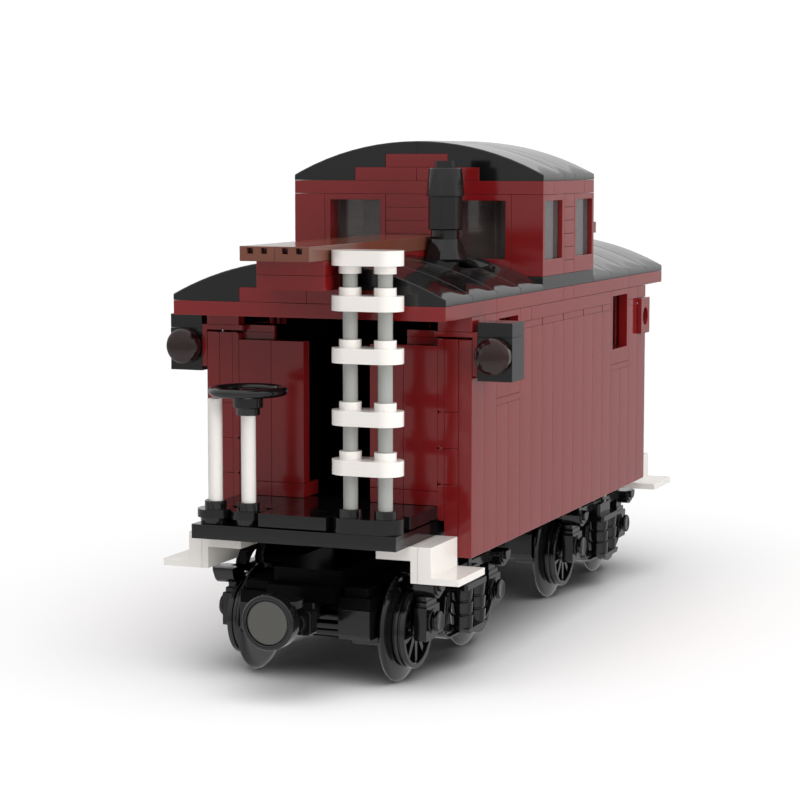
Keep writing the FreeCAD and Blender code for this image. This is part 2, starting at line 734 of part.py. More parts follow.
def transom():
    """Cross member that carries both side frames, open round the head of the pivot pin."""
    beam = block(-FRAME_IN, FRAME_IN, -0.75 * STUD, 0.75 * STUD, -2 * BRICK, BOGIE_LOW)
    well_low = PIN_HEAD_LOW - 2 * MOVE_GAP
    well = rod(0, 0, well_low, BOGIE_LOW, PIN_HEAD_R + 2 * MOVE_GAP)
    return at_pivot(beam.cut(well))


def pedestal_outline(dy):
    """Outline of one pedestal in the YZ plane: a broad plate with a narrower foot."""
    half = 1.5 * STUD - SEAM
    top = BOGIE_LOW - SEAM
    shoulder = HOLDER_LOW + HOLDER_CHAMFER
    left = [(-half, top), (-half, shoulder), (-half + HOLDER_CHAMFER, HOLDER_LOW)]
    left += [(-FOOT_HALF, HOLDER_LOW), (-FOOT_HALF, HOLDER_FOOT)]
    right = [(-y, z) for y, z in reversed(left)]
    return [(dy + y, z) for y, z in left + right]


def axle_holder(dy):
    """A top plate with two pedestals inside the wheels, bored clear of the axle."""
    half = 1.5 * STUD
    inner = WHEEL_IN - AXLE_CLEAR
    front = dy - half if dy > 0 else dy - half + STUD
    holder = block(-inner, inner, front, dy + half, BOGIE_LOW - PLATE, BOGIE_LOW)
    for side in (-1, 1):
        x0, x1 = sorted((side * (STUD + SEAM), side * inner))
        holder = holder.fuse(extrude_yz(pedestal_outline(dy), x0, x1))
    bore = rod_x(-WHEEL_OUT, WHEEL_OUT, dy, AXLE_Z, AXLE_R + AXLE_CLEAR)
    return at_pivot(holder.removeSplitter().cut(bore))


CHORD_UNDER = -14.2                 # under edge of the top chord
CHORD_HALF = AXLE_DY + STUD / 2
# Axle cap, outwards from the box: where each ring starts and ends, and its radius.
CAP_RINGS = ((0.0, 0.4, 2.1), (0.4, 0.9, 1.7), (0.9, 1.8, STUD_R))
NECK = (2.3, 5.0)                   # block between an axle box and the top chord
# Half outlines in Y and Z from the middle of the bogie, for +Y.
TROUGH_UPPER = ((11.8, -25.7), (14.6, -24.2))
TROUGH_LOWER = ((17.0, -24.0), (16.0, -25.7), (12.3, CHORD_LOW))
POST = ((12.6, -26.2), (9.9, -26.2), (7.6, -14.0), (10.3, -14.0))
LUG = (21.4, -12.9, 2.8)            # place in Y and Z, and radius
LUG_OUT = 1.4                       # how far the lugs stand out from the frame
SEAT = (28.3, 15.0, 1.5)            # ledge under the springs: outer face, length, height
SPRING_CAP = (27.2, 13.0, 1.4)      # ledge over the springs
SPRING_X = 26.3
SPRING_DY = STUD / 2
SPRING_LOW = -25.7
SPRING_TOP = -14.25
SPRING_CORE_R = 1.0
SPRING_TIERS = (
    (SPRING_LOW, -22.3, 2.3), (-22.1, -18.6, 2.15), (-18.4, -16.5, 1.6), (-16.3, SPRING_TOP, 1.15),
)


def journal(dy):
    """An axle box with its round cap."""
    corner = vector(FRAME_IN, dy - STUD / 2, JOURNAL_LOW)
    box = Part.makeBox(FRAME_OUT - FRAME_IN, STUD, JOURNAL_TOP - JOURNAL_LOW, corner)
    cap_z = (JOURNAL_TOP + JOURNAL_LOW) / 2
    for start, end, radius in CAP_RINGS:
        box = box.fuse(rod_x(FRAME_OUT + start - JOIN, FRAME_OUT + end, dy, cap_z, radius))
    return box


def ledge(size, z):
    """A shelf on the outer face of the frame that carries or caps the springs."""
    outer, length, height = size
    corner = vector(FRAME_OUT - 6 * JOIN, -length / 2, z)
    return Part.makeBox(outer - corner.x, length, height, corner)


def frame_end(side):
    """What one end of a side frame carries: axle box, its neck, slanted post and lug."""
    x0, x1 = FRAME_IN, FRAME_OUT
    dy = side * AXLE_DY
    depth, width = NECK
    corner = vector(x0, dy - width / 2, JOURNAL_TOP - JOIN)
    neck = Part.makeBox(depth, width, CHORD_UNDER - corner.z, corner)
    post = extrude_yz([(side * y, z) for y, z in POST], x0, x1)
    y, z, radius = LUG
    lug = rod_x(x0, x1 + LUG_OUT, side * y, z, radius)
    trim = Part.makeBox(STUD, STUD, STUD, vector(x0 - 1, side * y - STUD / 2, CHORD_TOP))
    return [journal(dy), neck, post, lug.cut(trim)]


def side_frame():
    """One side frame on the +X side: boxes, top and bottom chords, posts and lugs."""
    half = CHORD_HALF
    outline = [(-half, CHORD_TOP), (half, CHORD_TOP), (half, CHORD_UNDER), (-half, CHORD_UNDER)]
    frame = extrude_yz(outline, FRAME_IN, FRAME_OUT - 4 * JOIN)
    right = list(TROUGH_UPPER + TROUGH_LOWER)
    left = [(-y, z) for y, z in reversed(right)]
    frame = frame.fuse(extrude_yz(right + left, FRAME_IN, FRAME_OUT))
    for side in (-1, 1):
        frame = frame.fuse(frame_end(side))
    frame = frame.fuse([ledge(SEAT, CHORD_LOW), ledge(SPRING_CAP, CHORD_UNDER)])
    for side in (-1, 1):
        bore = rod_x(FRAME_IN - 1, FRAME_OUT - 5 * JOIN, side * AXLE_DY, AXLE_Z, AXLE_R + RUNNING)
        frame = frame.cut(bore)
    return at_pivot(frame.removeSplitter())


def spring_columns():
    """Stepped columns, two to a side, between the seat and the top chord."""
    columns = []
    for x in (-SPRING_X, SPRING_X):
        for dy in (-SPRING_DY, SPRING_DY):
            column = rod(x, dy, SPRING_LOW + SEAM, SPRING_TOP, SPRING_CORE_R)
            for z0, z1, radius in SPRING_TIERS:
                column = column.fuse(rod(x, dy, z0 + SEAM, z1, radius))
            columns.append(at_pivot(column.removeSplitter()))
    return columns


# Outline of a wheel from its back to its face: distance from the back, and radius.
WHEEL_OUTLINE = (
    (0.0, AXLE_R), (0.0, 10.6), (0.4, 11.5), (0.9, FLANGE_R), (1.4, 11.6), (2.2, TREAD_R + 0.1),
    (2.4, TREAD_R - 0.4), (2.7, TREAD_R - 0.4), (2.8, TREAD_R),
    (3.5, TREAD_R), (3.6, TREAD_R - 0.35), (3.9, TREAD_R - 0.35),
    (4.0, TREAD_R), (4.9, TREAD_R), (5.2, TREAD_R - 0.3),
    (5.2, TREAD_R - 1.5), (3.6, TREAD_R - 1.9), (3.6, 3.0), (4.8, 2.6), (4.8, AXLE_R),
)
SPOKES = 10
SPOKE_SPAN = (2.3, 7.5)             # radii between which a spoke runs
SPOKE_WIDTH = 1.0
SPOKE_DEPTH = 1.4


def wheel():
    """One wheel about the X axis: coned flange, grooved tread, rim, spokes and hub."""
    outline = [vector(WHEEL_IN + x, 0, radius) for x, radius in WHEEL_OUTLINE]
    wire = Part.makePolygon(outline + outline[:1])
    disc = Part.Face(wire).revolve(vector(0, 0, 0), vector(1, 0, 0), 360).Solids[0]
    start, end = SPOKE_SPAN
    spokes = []
    for index in range(SPOKES):
        corner = vector(WHEEL_OUT - SPOKE_DEPTH - 2 * LEG_INSET, -SPOKE_WIDTH / 2, start)
        spoke = Part.makeBox(SPOKE_DEPTH, SPOKE_WIDTH, end - start, corner)
        spoke.rotate(vector(0, 0, 0), vector(1, 0, 0), index * 360 / SPOKES)
        spokes.append(spoke)
    return disc.fuse(spokes).removeSplitter()


def wheel_pair(dy):
    outer = wheel()
    pair = [outer, mirrored(outer)]
    for shape in pair:
        shape.translate(vector(0, dy - PIVOT_Y, AXLE_Z))
    return pair


AXLE_END = 0.8                      # how far an axle stops short of the frame's outer face
HOUSING_Y = COUPLER_Y - 0.7         # front of the magnet housing
HOUSING_DEEP = 4.0
THROAT_R = 3.6
THROAT_LENGTH = 2.6
ARM_HALF = 2.8
ARM_LOW = COUPLER_Z - 2.4
ARM_HIGH = COUPLER_Z + 1.6
EYE_R = 3.5
FITTING = (3.9, 4.5, 5.2)           # hose fitting beside the arm
FITTING_PLACE = (2.3, 7.5, -3.9)    # from the middle of the housing's front
MAGNET_SPAN = (0.15, 2.95)          # how deep the magnet starts and ends in the housing
MAGNET_WELL = 3.0
MAGNET_PLAY = 0.02


def axle(dy):
    reach = FRAME_OUT - AXLE_END
    return [rod_x(-reach, reach, dy - PIVOT_Y, AXLE_Z, AXLE_R)]


def coupler_arm():
    """Draw arm with the round magnet housing, and the hose fitting beside it."""
    y = HOUSING_Y
    back = y + HOUSING_DEEP
    housing = rod_y(0, y, back, COUPLER_Z, HOUSING_R)
    throat = Part.makeCone(HOUSING_R, THROAT_R, THROAT_LENGTH, vector(0, back, COUPLER_Z), vector(0, 1, 0))
    corner = vector(-ARM_HALF, back + 5 * JOIN, ARM_LOW)
    arm = Part.makeBox(2 * ARM_HALF, COUPLER_PIVOT_Y - corner.y, ARM_HIGH - ARM_LOW, corner)
    eye = rod(0, COUPLER_PIVOT_Y, ARM_LOW, ARM_HIGH, EYE_R)
    place = vector(*FITTING_PLACE) + vector(0, y, COUPLER_Z)
    whole = housing.fuse([throat, arm, eye, Part.makeBox(*FITTING, place)])
    whole = whole.cut(rod(0, COUPLER_PIVOT_Y, ARM_LOW - 1, ARM_HIGH + 1, DRAW_PIN_R + RUNNING))
    whole = whole.cut(rod_y(0, y - 1, y + MAGNET_WELL, COUPLER_Z, MAGNET_R + MAGNET_PLAY))
    return [whole.removeSplitter()]


def coupler_magnet():
    start, end = MAGNET_SPAN
    return [rod_y(0, HOUSING_Y + start, HOUSING_Y + end, COUPLER_Z, MAGNET_R)]


def build_bogie(end, place):
    """Writes the nodes of one bogie; place moves a shape from the ladder end to its end."""
    def put(name, shapes):
        export(end + "_" + name, [place(shape) for shape in shapes])

    put("bogie_plate", bogie_plate())
    put("axle_holders", [axle_holder(-AXLE_DY), axle_holder(AXLE_DY), transom()])
    put("side_frames", both_sides([side_frame()]))
    put("spring_columns", spring_columns())
    for name, dy in (("outer", -AXLE_DY), ("inner", AXLE_DY)):
        put(name + "_wheels", wheel_pair(dy))
        put(name + "_axle", axle(dy))
    put("coupler_arm", coupler_arm())
    put("coupler_magnet", coupler_magnet())
    put("brake_wheel", brake_wheel())


NODES = {
    "underframe_plate": underframe,
    "cabin_floor": cabin_floor,
    "deck_tiles": deck_tiles,
    "side_planks": side_planks,
    "wall_core": wall_core,
    "bracket_plates": bracket_plates,
    "eave_plates": eave_plates,
    "side_windows": side_windows,
    "end_panels": end_panels,
    "end_sills": end_sills,
    "end_headers": end_headers,
    "header_bricks": header_bricks,
    "eave_slabs": eave_slabs,
    "roof_slopes_right": roof_slopes_right,
    "roof_slopes_left": roof_slopes_left,
    "roof_spine": roof_spine,
    "roof_walk": roof_walk,
    "cupola_base": cupola_base,
    "cupola_windows": cupola_windows,
    "cupola_panes": cupola_panes,
    "cupola_stacks": cupola_stacks,
    "cupola_top_rows": cupola_top_rows,
    "cupola_roof": cupola_roof,
    "chimney_base": chimney_base,
    "chimney_body": chimney_body,
    "chimney_cap": chimney_cap,
    "ladder_rails": ladder_rails,
    "ladder_rungs": ladder_rungs,
    "bar_sockets": bar_sockets,
    "porch_posts": porch_posts,
    "lamp_brackets": lamp_brackets,
    "lamp_housings": lamp_housings,
    "lamp_caps": lamp_caps,
    "lamp_lenses": lamp_lenses,
    "step_brackets": step_brackets,
    "step_treads": step_treads,
    "bolsters": bolsters,
    "pivot_pins": pivot_pins,
}

os.makedirs("parts", exist_ok=True)
for node, make in NODES.items():
    export(node, make())
build_bogie("front", lambda shape: shape)
build_bogie("rear", turned)
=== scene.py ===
import json
import math

import bmesh
import bpy
from mathutils import Matrix, Vector


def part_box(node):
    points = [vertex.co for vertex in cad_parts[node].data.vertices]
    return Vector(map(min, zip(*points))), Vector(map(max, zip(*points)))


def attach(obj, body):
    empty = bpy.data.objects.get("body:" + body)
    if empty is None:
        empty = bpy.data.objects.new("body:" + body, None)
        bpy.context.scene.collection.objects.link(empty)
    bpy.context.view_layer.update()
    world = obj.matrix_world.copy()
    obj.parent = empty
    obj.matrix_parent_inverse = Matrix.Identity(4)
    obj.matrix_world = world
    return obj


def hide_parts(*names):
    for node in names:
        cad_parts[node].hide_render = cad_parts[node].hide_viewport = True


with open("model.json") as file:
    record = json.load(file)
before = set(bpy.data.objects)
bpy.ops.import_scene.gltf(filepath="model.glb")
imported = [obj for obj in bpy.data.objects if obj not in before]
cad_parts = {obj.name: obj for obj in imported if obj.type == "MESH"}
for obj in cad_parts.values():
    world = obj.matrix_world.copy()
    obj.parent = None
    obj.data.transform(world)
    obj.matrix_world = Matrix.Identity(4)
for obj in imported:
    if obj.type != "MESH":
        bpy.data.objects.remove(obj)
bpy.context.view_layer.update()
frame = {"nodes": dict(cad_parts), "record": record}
NODES = frame["nodes"]
MM = 0.001
STUD = 8.0
PLATE = 3.2
BRICK = 9.6
SEAM = 0.03                         # how much smaller a brick is than the grid, on each face


# ---- camera, floor and light ---------------------------------------------------------------
CAMERA_PLACE = Vector((200.4, -525.2, 114.6)) * MM
CAMERA_YAW = math.radians(22.05)
CAMERA_DOWN = math.radians(6.13)
CAMERA_LENS = 101.8
SENSOR = 36.0
CAMERA_CLIP = (0.01, 60.0)

FLOOR_HALF = 12.0
FLOOR_GRAIN = 3.0
FLOOR_WHITE = (0.925, 0.935)
BACKDROP_WHITE = 1.05
SURROUND_LOW = 0.55                 # what gloss sees below, at MID_HEIGHT and overhead
SURROUND_MID = 0.88
SURROUND_TOP = 1.22
MID_HEIGHT = 0.22
FRONT_FLOOR = 0.38                  # added for gloss that looks down and forward, as a lit floor
SKY_LOW = 0.12
SKY_TOP = 3.2
SKY_SPAN = (0.62, 1.0)              # cosines from the axis between which the sky brightens
SKY_AXIS = Vector((0.15, -0.30, 0.94)).normalized()
KEY_TURN = math.radians(-22)
KEY_RISE = math.radians(6)
KEY_AWAY = 1.2
KEY_SIZE = 0.8
KEY_POWER = 12.8


def make_camera():
    data = bpy.data.cameras.new("camera")
    data.lens = CAMERA_LENS
    data.sensor_width = SENSOR
    data.clip_start, data.clip_end = CAMERA_CLIP
    camera = bpy.data.objects.new("camera", data)
    bpy.context.scene.collection.objects.link(camera)
    camera.location = CAMERA_PLACE
    camera.rotation_euler = (math.radians(90) - CAMERA_DOWN, 0.0, CAMERA_YAW)
    bpy.context.scene.camera = camera


def ramp(tree, value, reach, levels, smooth=True):
    """The value stretched from its reach to the levels, without going past them."""
    node = tree.nodes.new("ShaderNodeMapRange")
    node.interpolation_type = "SMOOTHSTEP" if smooth else "LINEAR"
    node.inputs["From Min"].default_value, node.inputs["From Max"].default_value = reach
    node.inputs["To Min"].default_value, node.inputs["To Max"].default_value = levels
    tree.links.new(value, node.inputs["Value"])
    return node.outputs["Result"]


def figured(tree, operation, first, second):
    """A Math node of a socket and either another socket or a number."""
    node = tree.nodes.new("ShaderNodeMath")
    node.operation = operation
    tree.links.new(first, node.inputs[0])
    if isinstance(second, float):
        node.inputs[1].default_value = second
    else:
        tree.links.new(second, node.inputs[1])
    return node.outputs[0]


def background(tree, strength):
    node = tree.nodes.new("ShaderNodeBackground")
    node.inputs["Color"].default_value = (1, 1, 1, 1)
    if isinstance(strength, float):
        node.inputs["Strength"].default_value = strength
    else:
        tree.links.new(strength, node.inputs["Strength"])
    return node.outputs[0]


def switched(tree, chooser, first, second):
    """The second shader where the chooser is one, the first elsewhere."""
    node = tree.nodes.new("ShaderNodeMixShader")
    tree.links.new(chooser, node.inputs["Fac"])
    tree.links.new(first, node.inputs[1])
    tree.links.new(second, node.inputs[2])
    return node.outputs[0]


def make_world():
    """A white studio dome, brightest overhead; gloss sees an evener one, the camera a plain backdrop."""
    world = bpy.data.worlds.new("studio")
    bpy.context.scene.world = world
    world.use_nodes = True
    tree = world.node_tree
    tree.nodes.clear()
    out = tree.nodes.new("ShaderNodeOutputWorld")
    path = tree.nodes.new("ShaderNodeLightPath")
    place = tree.nodes.new("ShaderNodeTexCoord")
    split = tree.nodes.new("ShaderNodeSeparateXYZ")
    tree.links.new(place.outputs["Generated"], split.inputs[0])
    low = ramp(tree, split.outputs["Z"], (-0.10, MID_HEIGHT), (SURROUND_LOW, SURROUND_MID))
    high = ramp(tree, split.outputs["Z"], (MID_HEIGHT, 1.0), (0.0, SURROUND_TOP - SURROUND_MID))
    toward = tree.nodes.new("ShaderNodeVectorMath")
    toward.operation = "DOT_PRODUCT"
    toward.inputs[1].default_value = SKY_AXIS
    tree.links.new(place.outputs["Generated"], toward.inputs[0])
    sky = ramp(tree, toward.outputs["Value"], SKY_SPAN, (SKY_LOW, SKY_TOP))
    below = ramp(tree, split.outputs["Z"], (-0.30, -0.12), (FRONT_FLOOR, 0.0))
    forward = ramp(tree, split.outputs["Y"], (-0.5, 0.1), (1.0, 0.0))
    near = figured(tree, "MULTIPLY", below, forward)
    gloss = background(tree, figured(tree, "ADD", figured(tree, "ADD", low, high), near))
    light = background(tree, sky)
    seen = background(tree, BACKDROP_WHITE)
    unseen = switched(tree, path.outputs["Is Glossy Ray"], light, gloss)
    surface = switched(tree, path.outputs["Is Camera Ray"], unseen, seen)
    tree.links.new(surface, out.inputs["Surface"])


def make_key(floor):
    """A large soft lamp to the right of the car, which leaves the floor to the dome."""
    data = bpy.data.lights.new("key", "AREA")
    data.size = KEY_SIZE
    data.energy = KEY_POWER
    key = bpy.data.objects.new("key", data)
    bpy.context.scene.collection.objects.link(key)
    level = math.cos(KEY_RISE)
    away = Vector((level * math.cos(KEY_TURN), level * math.sin(KEY_TURN), math.sin(KEY_RISE)))
    key.location = away * KEY_AWAY
    key.rotation_euler = away.to_track_quat("Z", "Y").to_euler()
    key.visible_glossy = False
    unlit = bpy.data.collections.new("unlit")
    unlit.objects.link(floor)
    key.light_linking.receiver_collection = unlit
    unlit.collection_objects[0].light_linking.link_state = "EXCLUDE"


def make_floor():
    mesh = bpy.data.meshes.new("floor")
    half = FLOOR_HALF
    corners = [(-half, -half, 0), (half, -half, 0), (half, half, 0), (-half, half, 0)]
    mesh.from_pydata(corners, [], [(0, 1, 2, 3)])
    floor = bpy.data.objects.new("floor", mesh)
    bpy.context.scene.collection.objects.link(floor)
    material = bpy.data.materials.new("studio_floor")
    material.use_nodes = True
    tree = material.node_tree
    shader = tree.nodes["Principled BSDF"]
    stretched(tree, shader.inputs["Base Color"], FLOOR_WHITE, noise_value(tree, FLOOR_GRAIN, 2.0))
    shader.inputs["Roughness"].default_value = 1.0
    shader.inputs["Specular IOR Level"].default_value = 0.0
    floor.data.materials.append(material)
    floor.visible_glossy = False
    return floor


# ---- materials -----------------------------------------------------------------------------
DARK_RED = (0.170, 0.0075, 0.0085)
BLACK = (0.0042, 0.0042, 0.0045)
# Painted shade: the dull black that every surface inside the cabin takes.
CABIN_PAINTED_SHADE = (0.0015, 0.0015, 0.0015, 1)
GLOSS = 0.5
PLASTIC_IOR = 1.5
SKIN = 0.003                        # strength of the moulded skin
SKIN_DEPTH = 0.0002
SKIN_GRAIN = 1400.0                 # scales of the noises: skin, tone and roughness
CLOUD_GRAIN = 140.0
WEAR_GRAIN = 60.0
CLEAR = (0.02, 0.05)                # roughness of clear plastic


def stretched(tree, socket, levels, value):
    """A value from 0 to 1 stretched to the levels, on a socket."""
    tree.links.new(ramp(tree, value, (0.0, 1.0), levels, smooth=False), socket)


def noise_value(tree, scale, detail):
    """Noise fixed to the object, from 0 to 1."""
    place = tree.nodes.new("ShaderNodeTexCoord")
    noise = tree.nodes.new("ShaderNodeTexNoise")
    noise.inputs["Scale"].default_value = scale
    noise.inputs["Detail"].default_value = detail
    tree.links.new(place.outputs["Object"], noise.inputs["Vector"])
    return noise.outputs["Fac"]


def mixed(tree, factor, ends, kind, socket):
    """A mix of two ends, each a socket or a constant, put on a socket."""
    node = tree.nodes.new("ShaderNodeMix")
    node.data_type = kind
    for name, end in zip("AB", ends):
        if isinstance(end, bpy.types.NodeSocket):
            tree.links.new(end, node.inputs[name])
        else:
            node.inputs[name].default_value = end
    tree.links.new(factor, node.inputs["Factor"])
    tree.links.new(node.outputs["Result"], socket)


# The cabin's inside, as its centre and half its size: the box where shade is painted in.
PAINTED_SHADE_BOX = (Vector((0.0, 0.0, 59.6)) * MM, Vector((24.2, 64.9, 24.2)) * MM)


def outside_painted_shade(tree):
    """One outside the cabin's walls and zero in its inside, where shade is painted."""
    place = tree.nodes.new("ShaderNodeNewGeometry").outputs["Position"]
    centre, half = PAINTED_SHADE_BOX
    offset = tree.nodes.new("ShaderNodeVectorMath")
    offset.operation = "SUBTRACT"
    offset.inputs[1].default_value = centre
    tree.links.new(place, offset.inputs[0])
    size = tree.nodes.new("ShaderNodeVectorMath")
    size.operation = "ABSOLUTE"
    tree.links.new(offset.outputs[0], size.inputs[0])
    split = tree.nodes.new("ShaderNodeSeparateXYZ")
    tree.links.new(size.outputs[0], split.inputs[0])
    outside = [
        figured(tree, "GREATER_THAN", split.outputs[axis], limit) for axis, limit in zip("XYZ", half)
    ]
    total = figured(tree, "ADD", figured(tree, "ADD", outside[0], outside[1]), outside[2])
    clipped = tree.nodes.new("ShaderNodeClamp")
    tree.links.new(total, clipped.inputs["Value"])
    return clipped.outputs[0]


def paint_cabin_shade(material):
    """Paints shade into a material on the inside of the cabin: dull black there, without gloss."""
    tree = material.node_tree
    shader = tree.nodes["Principled BSDF"]
    outside = outside_painted_shade(tree)
    color, rough = shader.inputs["Base Color"], shader.inputs["Roughness"]
    mixed(tree, outside, (CABIN_PAINTED_SHADE, color.links[0].from_socket), "RGBA", color)
    stretched(tree, shader.inputs["Specular IOR Level"], (0.0, GLOSS), outside)
    mixed(tree, outside, (1.0, rough.links[0].from_socket), "FLOAT", rough)
    return material


def plastic(name, color, rough=(0.07, 0.15), tone=0.04, metal=0.0, through=0.0, gloss=GLOSS):
    """Moulded plastic: tone differs a little from brick to brick, with a faint moulded skin."""
    material = bpy.data.materials.new(name)
    material.use_nodes = True
    tree = material.node_tree
    shader = tree.nodes["Principled BSDF"]
    island = tree.nodes.new("ShaderNodeNewGeometry").outputs["Random Per Island"]
    shade = figured(tree, "ADD", island, noise_value(tree, CLOUD_GRAIN, 4.0))
    dark = tuple(level * (1 - tone) for level in color) + (1,)
    pale = tuple(min(1.0, level * (1 + tone)) for level in color) + (1,)
    mixed(tree, figured(tree, "MULTIPLY", shade, 0.5), (dark, pale), "RGBA", shader.inputs["Base Color"])
    stretched(tree, shader.inputs["Roughness"], rough, noise_value(tree, WEAR_GRAIN, 5.0))
    bump = tree.nodes.new("ShaderNodeBump")
    bump.inputs["Strength"].default_value = SKIN
    bump.inputs["Distance"].default_value = SKIN_DEPTH
    tree.links.new(noise_value(tree, SKIN_GRAIN, 2.0), bump.inputs["Height"])
    tree.links.new(bump.outputs["Normal"], shader.inputs["Normal"])
    shader.inputs["Metallic"].default_value = metal
    shader.inputs["Specular IOR Level"].default_value = gloss
    shader.inputs["Transmission Weight"].default_value = through
    shader.inputs["IOR"].default_value = PLASTIC_IOR
    return material


def make_materials():
    return {
        "dark_red": plastic("dark_red_plastic", DARK_RED),
        "black": plastic("black_plastic", BLACK, tone=0.15),
        "white": plastic("white_plastic", (0.755, 0.722, 0.685), tone=0.01),
        "light_grey": plastic("grey_plastic", (0.315, 0.32, 0.30), tone=0.02),
        "brown": plastic("brown_plastic", (0.135, 0.043, 0.026), tone=0.08),
        "red_lens": plastic("red_lens_plastic", (0.032, 0.006, 0.006), CLEAR, through=0.5),
        "smoke_pane": plastic("smoke_pane_plastic", (0.42, 0.38, 0.36), CLEAR, through=0.86),
        # A darker copy of the smoke pane for the cupola's sides, as painted shade.
        "shaded_smoke_pane": plastic("shaded_smoke_pane_plastic", (0.20, 0.19, 0.19), CLEAR, through=0.70),
        "steel": plastic("axle_steel", (0.55, 0.55, 0.56), (0.22, 0.34), metal=1.0),
        "magnet": plastic("magnet_plate", (0.070, 0.069, 0.063), (0.28, 0.38), 0.03),
        # Copies of dark red and black with shade painted inside the cabin.
        "dark_red_shaded_inside": paint_cabin_shade(plastic("dark_red_shaded_inside", DARK_RED)),
        "black_shaded_inside": paint_cabin_shade(plastic("black_shaded_inside", BLACK, tone=0.15)),
        # A darker, duller copy of black, as painted shade for the parts under the car.
        "black_painted_shade": plastic("black_painted_shade", (0.0014, 0.0014, 0.0015), (0.25, 0.4), 0.15, gloss=0.06),
    }


EDGE = 0.10                         # width of the soft edges, in millimetres
BEVEL_FROM = math.radians(32)
WELD_REACH = 5e-6
SEAM_EDGES = {"side_planks": 0.24, "end_panels": 0.14, "bracket_plates": 0.14, "cupola_stacks": 0.14}
# CAD nodes whose finish differs from the one named by their slot; most are copies with shade painted inside
# the cabin.
FINISHES = {
    "wall_core": "dark_red_shaded_inside", "eave_plates": "dark_red_shaded_inside", "eave_slabs": "dark_red_shaded_inside",
    "roof_spine": "dark_red_shaded_inside", "end_panels": "dark_red_shaded_inside", "end_headers": "dark_red_shaded_inside",
    "header_bricks": "black_shaded_inside", "cabin_floor": "black_shaded_inside", "deck_tiles": "black_shaded_inside",
    # These take the darker, duller black: painted shade under the car.
    "front_bogie_plate": "black_painted_shade", "rear_bogie_plate": "black_painted_shade", "bolsters": "black_painted_shade",
    "pivot_pins": "black_painted_shade",
}


def dress_nodes(materials):
    """Gives each CAD node its material and softens its edges."""
    for part in frame["record"]["subparts"]:
        node = NODES[part["node"]]
        node.data.materials.clear()
        node.data.materials.append(materials[FINISHES.get(part["node"], part["material_slot"])])
        soften(node, SEAM_EDGES.get(part["node"], EDGE))


def smoothed(data):
    for polygon in data.polygons:
        polygon.use_smooth = True


def soften(piece, width):
    """Welds, bevels the edges and evens out the shading, all by modifiers."""
    weld = piece.modifiers.new("weld", "WELD")
    weld.merge_threshold = WELD_REACH
    bevel = piece.modifiers.new("bevel", "BEVEL")
    bevel.width = width * MM
    bevel.segments = 2
    bevel.limit_method = "ANGLE"
    bevel.angle_limit = BEVEL_FROM
    bevel.use_clamp_overlap = True
    normals = piece.modifiers.new("normals", "WEIGHTED_NORMAL")
    normals.keep_sharp = False
    normals.weight = 80
    smoothed(piece.data)


# ---- mesh helpers, in millimetres ----------------------------------------------------------
AXES = {"X": (1, 2, 0), "Y": (2, 0, 1), "Z": (0, 1, 2)}
HALF_TURN = Matrix.Rotation(math.pi, 4, "Z")
FLIP_X = Matrix.Scale(-1, 4, Vector((1, 0, 0)))
FLIP_Y = Matrix.Scale(-1, 4, Vector((0, 1, 0)))
SIDES = 64
FINE_SIDES = 96


def placed(axis, across, up, along):
    """A point given as two coordinates across the axis and one along it."""
    point = [0.0, 0.0, 0.0]
    for index, value in zip(AXES[axis], (across, up, along)):
        point[index] = value
    return Vector(point)


def lathe(mesh, axis, centre, outline, sides=SIDES, turn=0.0, ring=False):
    """A turned solid: outline is (along, radius) pairs; with ring the outline closes on itself."""
    loops = []
    for along, radius in outline:
        if radius <= 0.0:
            loops.append([mesh.verts.new(placed(axis, centre[0], centre[1], along))])
            continue
        loop = []
        for index in range(sides):
            angle = turn + 2 * math.pi * index / sides
            across = centre[0] + radius * math.cos(angle)
            up = centre[1] + radius * math.sin(angle)
            loop.append(mesh.verts.new(placed(axis, across, up, along)))
        loops.append(loop)
    pairs = list(zip(loops, loops[1:]))
    if ring:
        pairs.append((loops[-1], loops[0]))
    for first, second in pairs:
        for index in range(sides):
            after = (index + 1) % sides
            if len(first) == 1:
                mesh.faces.new((first[0], second[after], second[index]))
            elif len(second) == 1:
                mesh.faces.new((first[index], first[after], second[0]))
            else:
                mesh.faces.new((first[index], first[after], second[after], second[index]))
    if not ring:
        for loop in (loops[0], loops[-1]):
            if len(loop) > 1:
                mesh.faces.new(loop)


def prism(mesh, axis, outline, low, high, matrix=None):
    """A straight solid along the axis, from a closed outline across it."""
    first = [mesh.verts.new(placed(axis, across, up, low)) for across, up in outline]
    second = [mesh.verts.new(placed(axis, across, up, high)) for across, up in outline]
    mesh.faces.new(first)
    mesh.faces.new(list(reversed(second)))
    for index in range(len(outline)):
        after = (index + 1) % len(outline)
        mesh.faces.new((first[index], second[index], second[after], first[after]))
    if matrix is not None:
        bmesh.ops.transform(mesh, matrix=matrix, verts=first + second)


def bridge(mesh, loops):
    """Faces between each loop of vertices and the next."""
    for first, second in zip(loops, loops[1:]):
        for index in range(len(first)):
            after = (index + 1) % len(first)
            mesh.faces.new((first[index], first[after], second[after], second[index]))


def slab(mesh, x, y, z, matrix=None):
    """A block, given as its spans."""
    outline = [(x[0], y[0]), (x[1], y[0]), (x[1], y[1]), (x[0], y[1])]
    prism(mesh, "Z", outline, z[0], z[1], matrix)


def rounded(x, y, radius, steps=5):
    """Outline of a rectangle with round corners, from its spans."""
    outline = []
    corners = ((x[1], y[1], 1, 1), (x[0], y[1], -1, 1), (x[0], y[0], -1, -1), (x[1], y[0], 1, -1))
    for quarter, (cx, cy, sx, sy) in enumerate(corners):
        for step in range(steps + 1):
            angle = math.pi / 2 * (quarter + step / steps)
            across = cx - sx * radius + radius * math.cos(angle)
            outline.append((across, cy - sy * radius + radius * math.sin(angle)))
    return outline


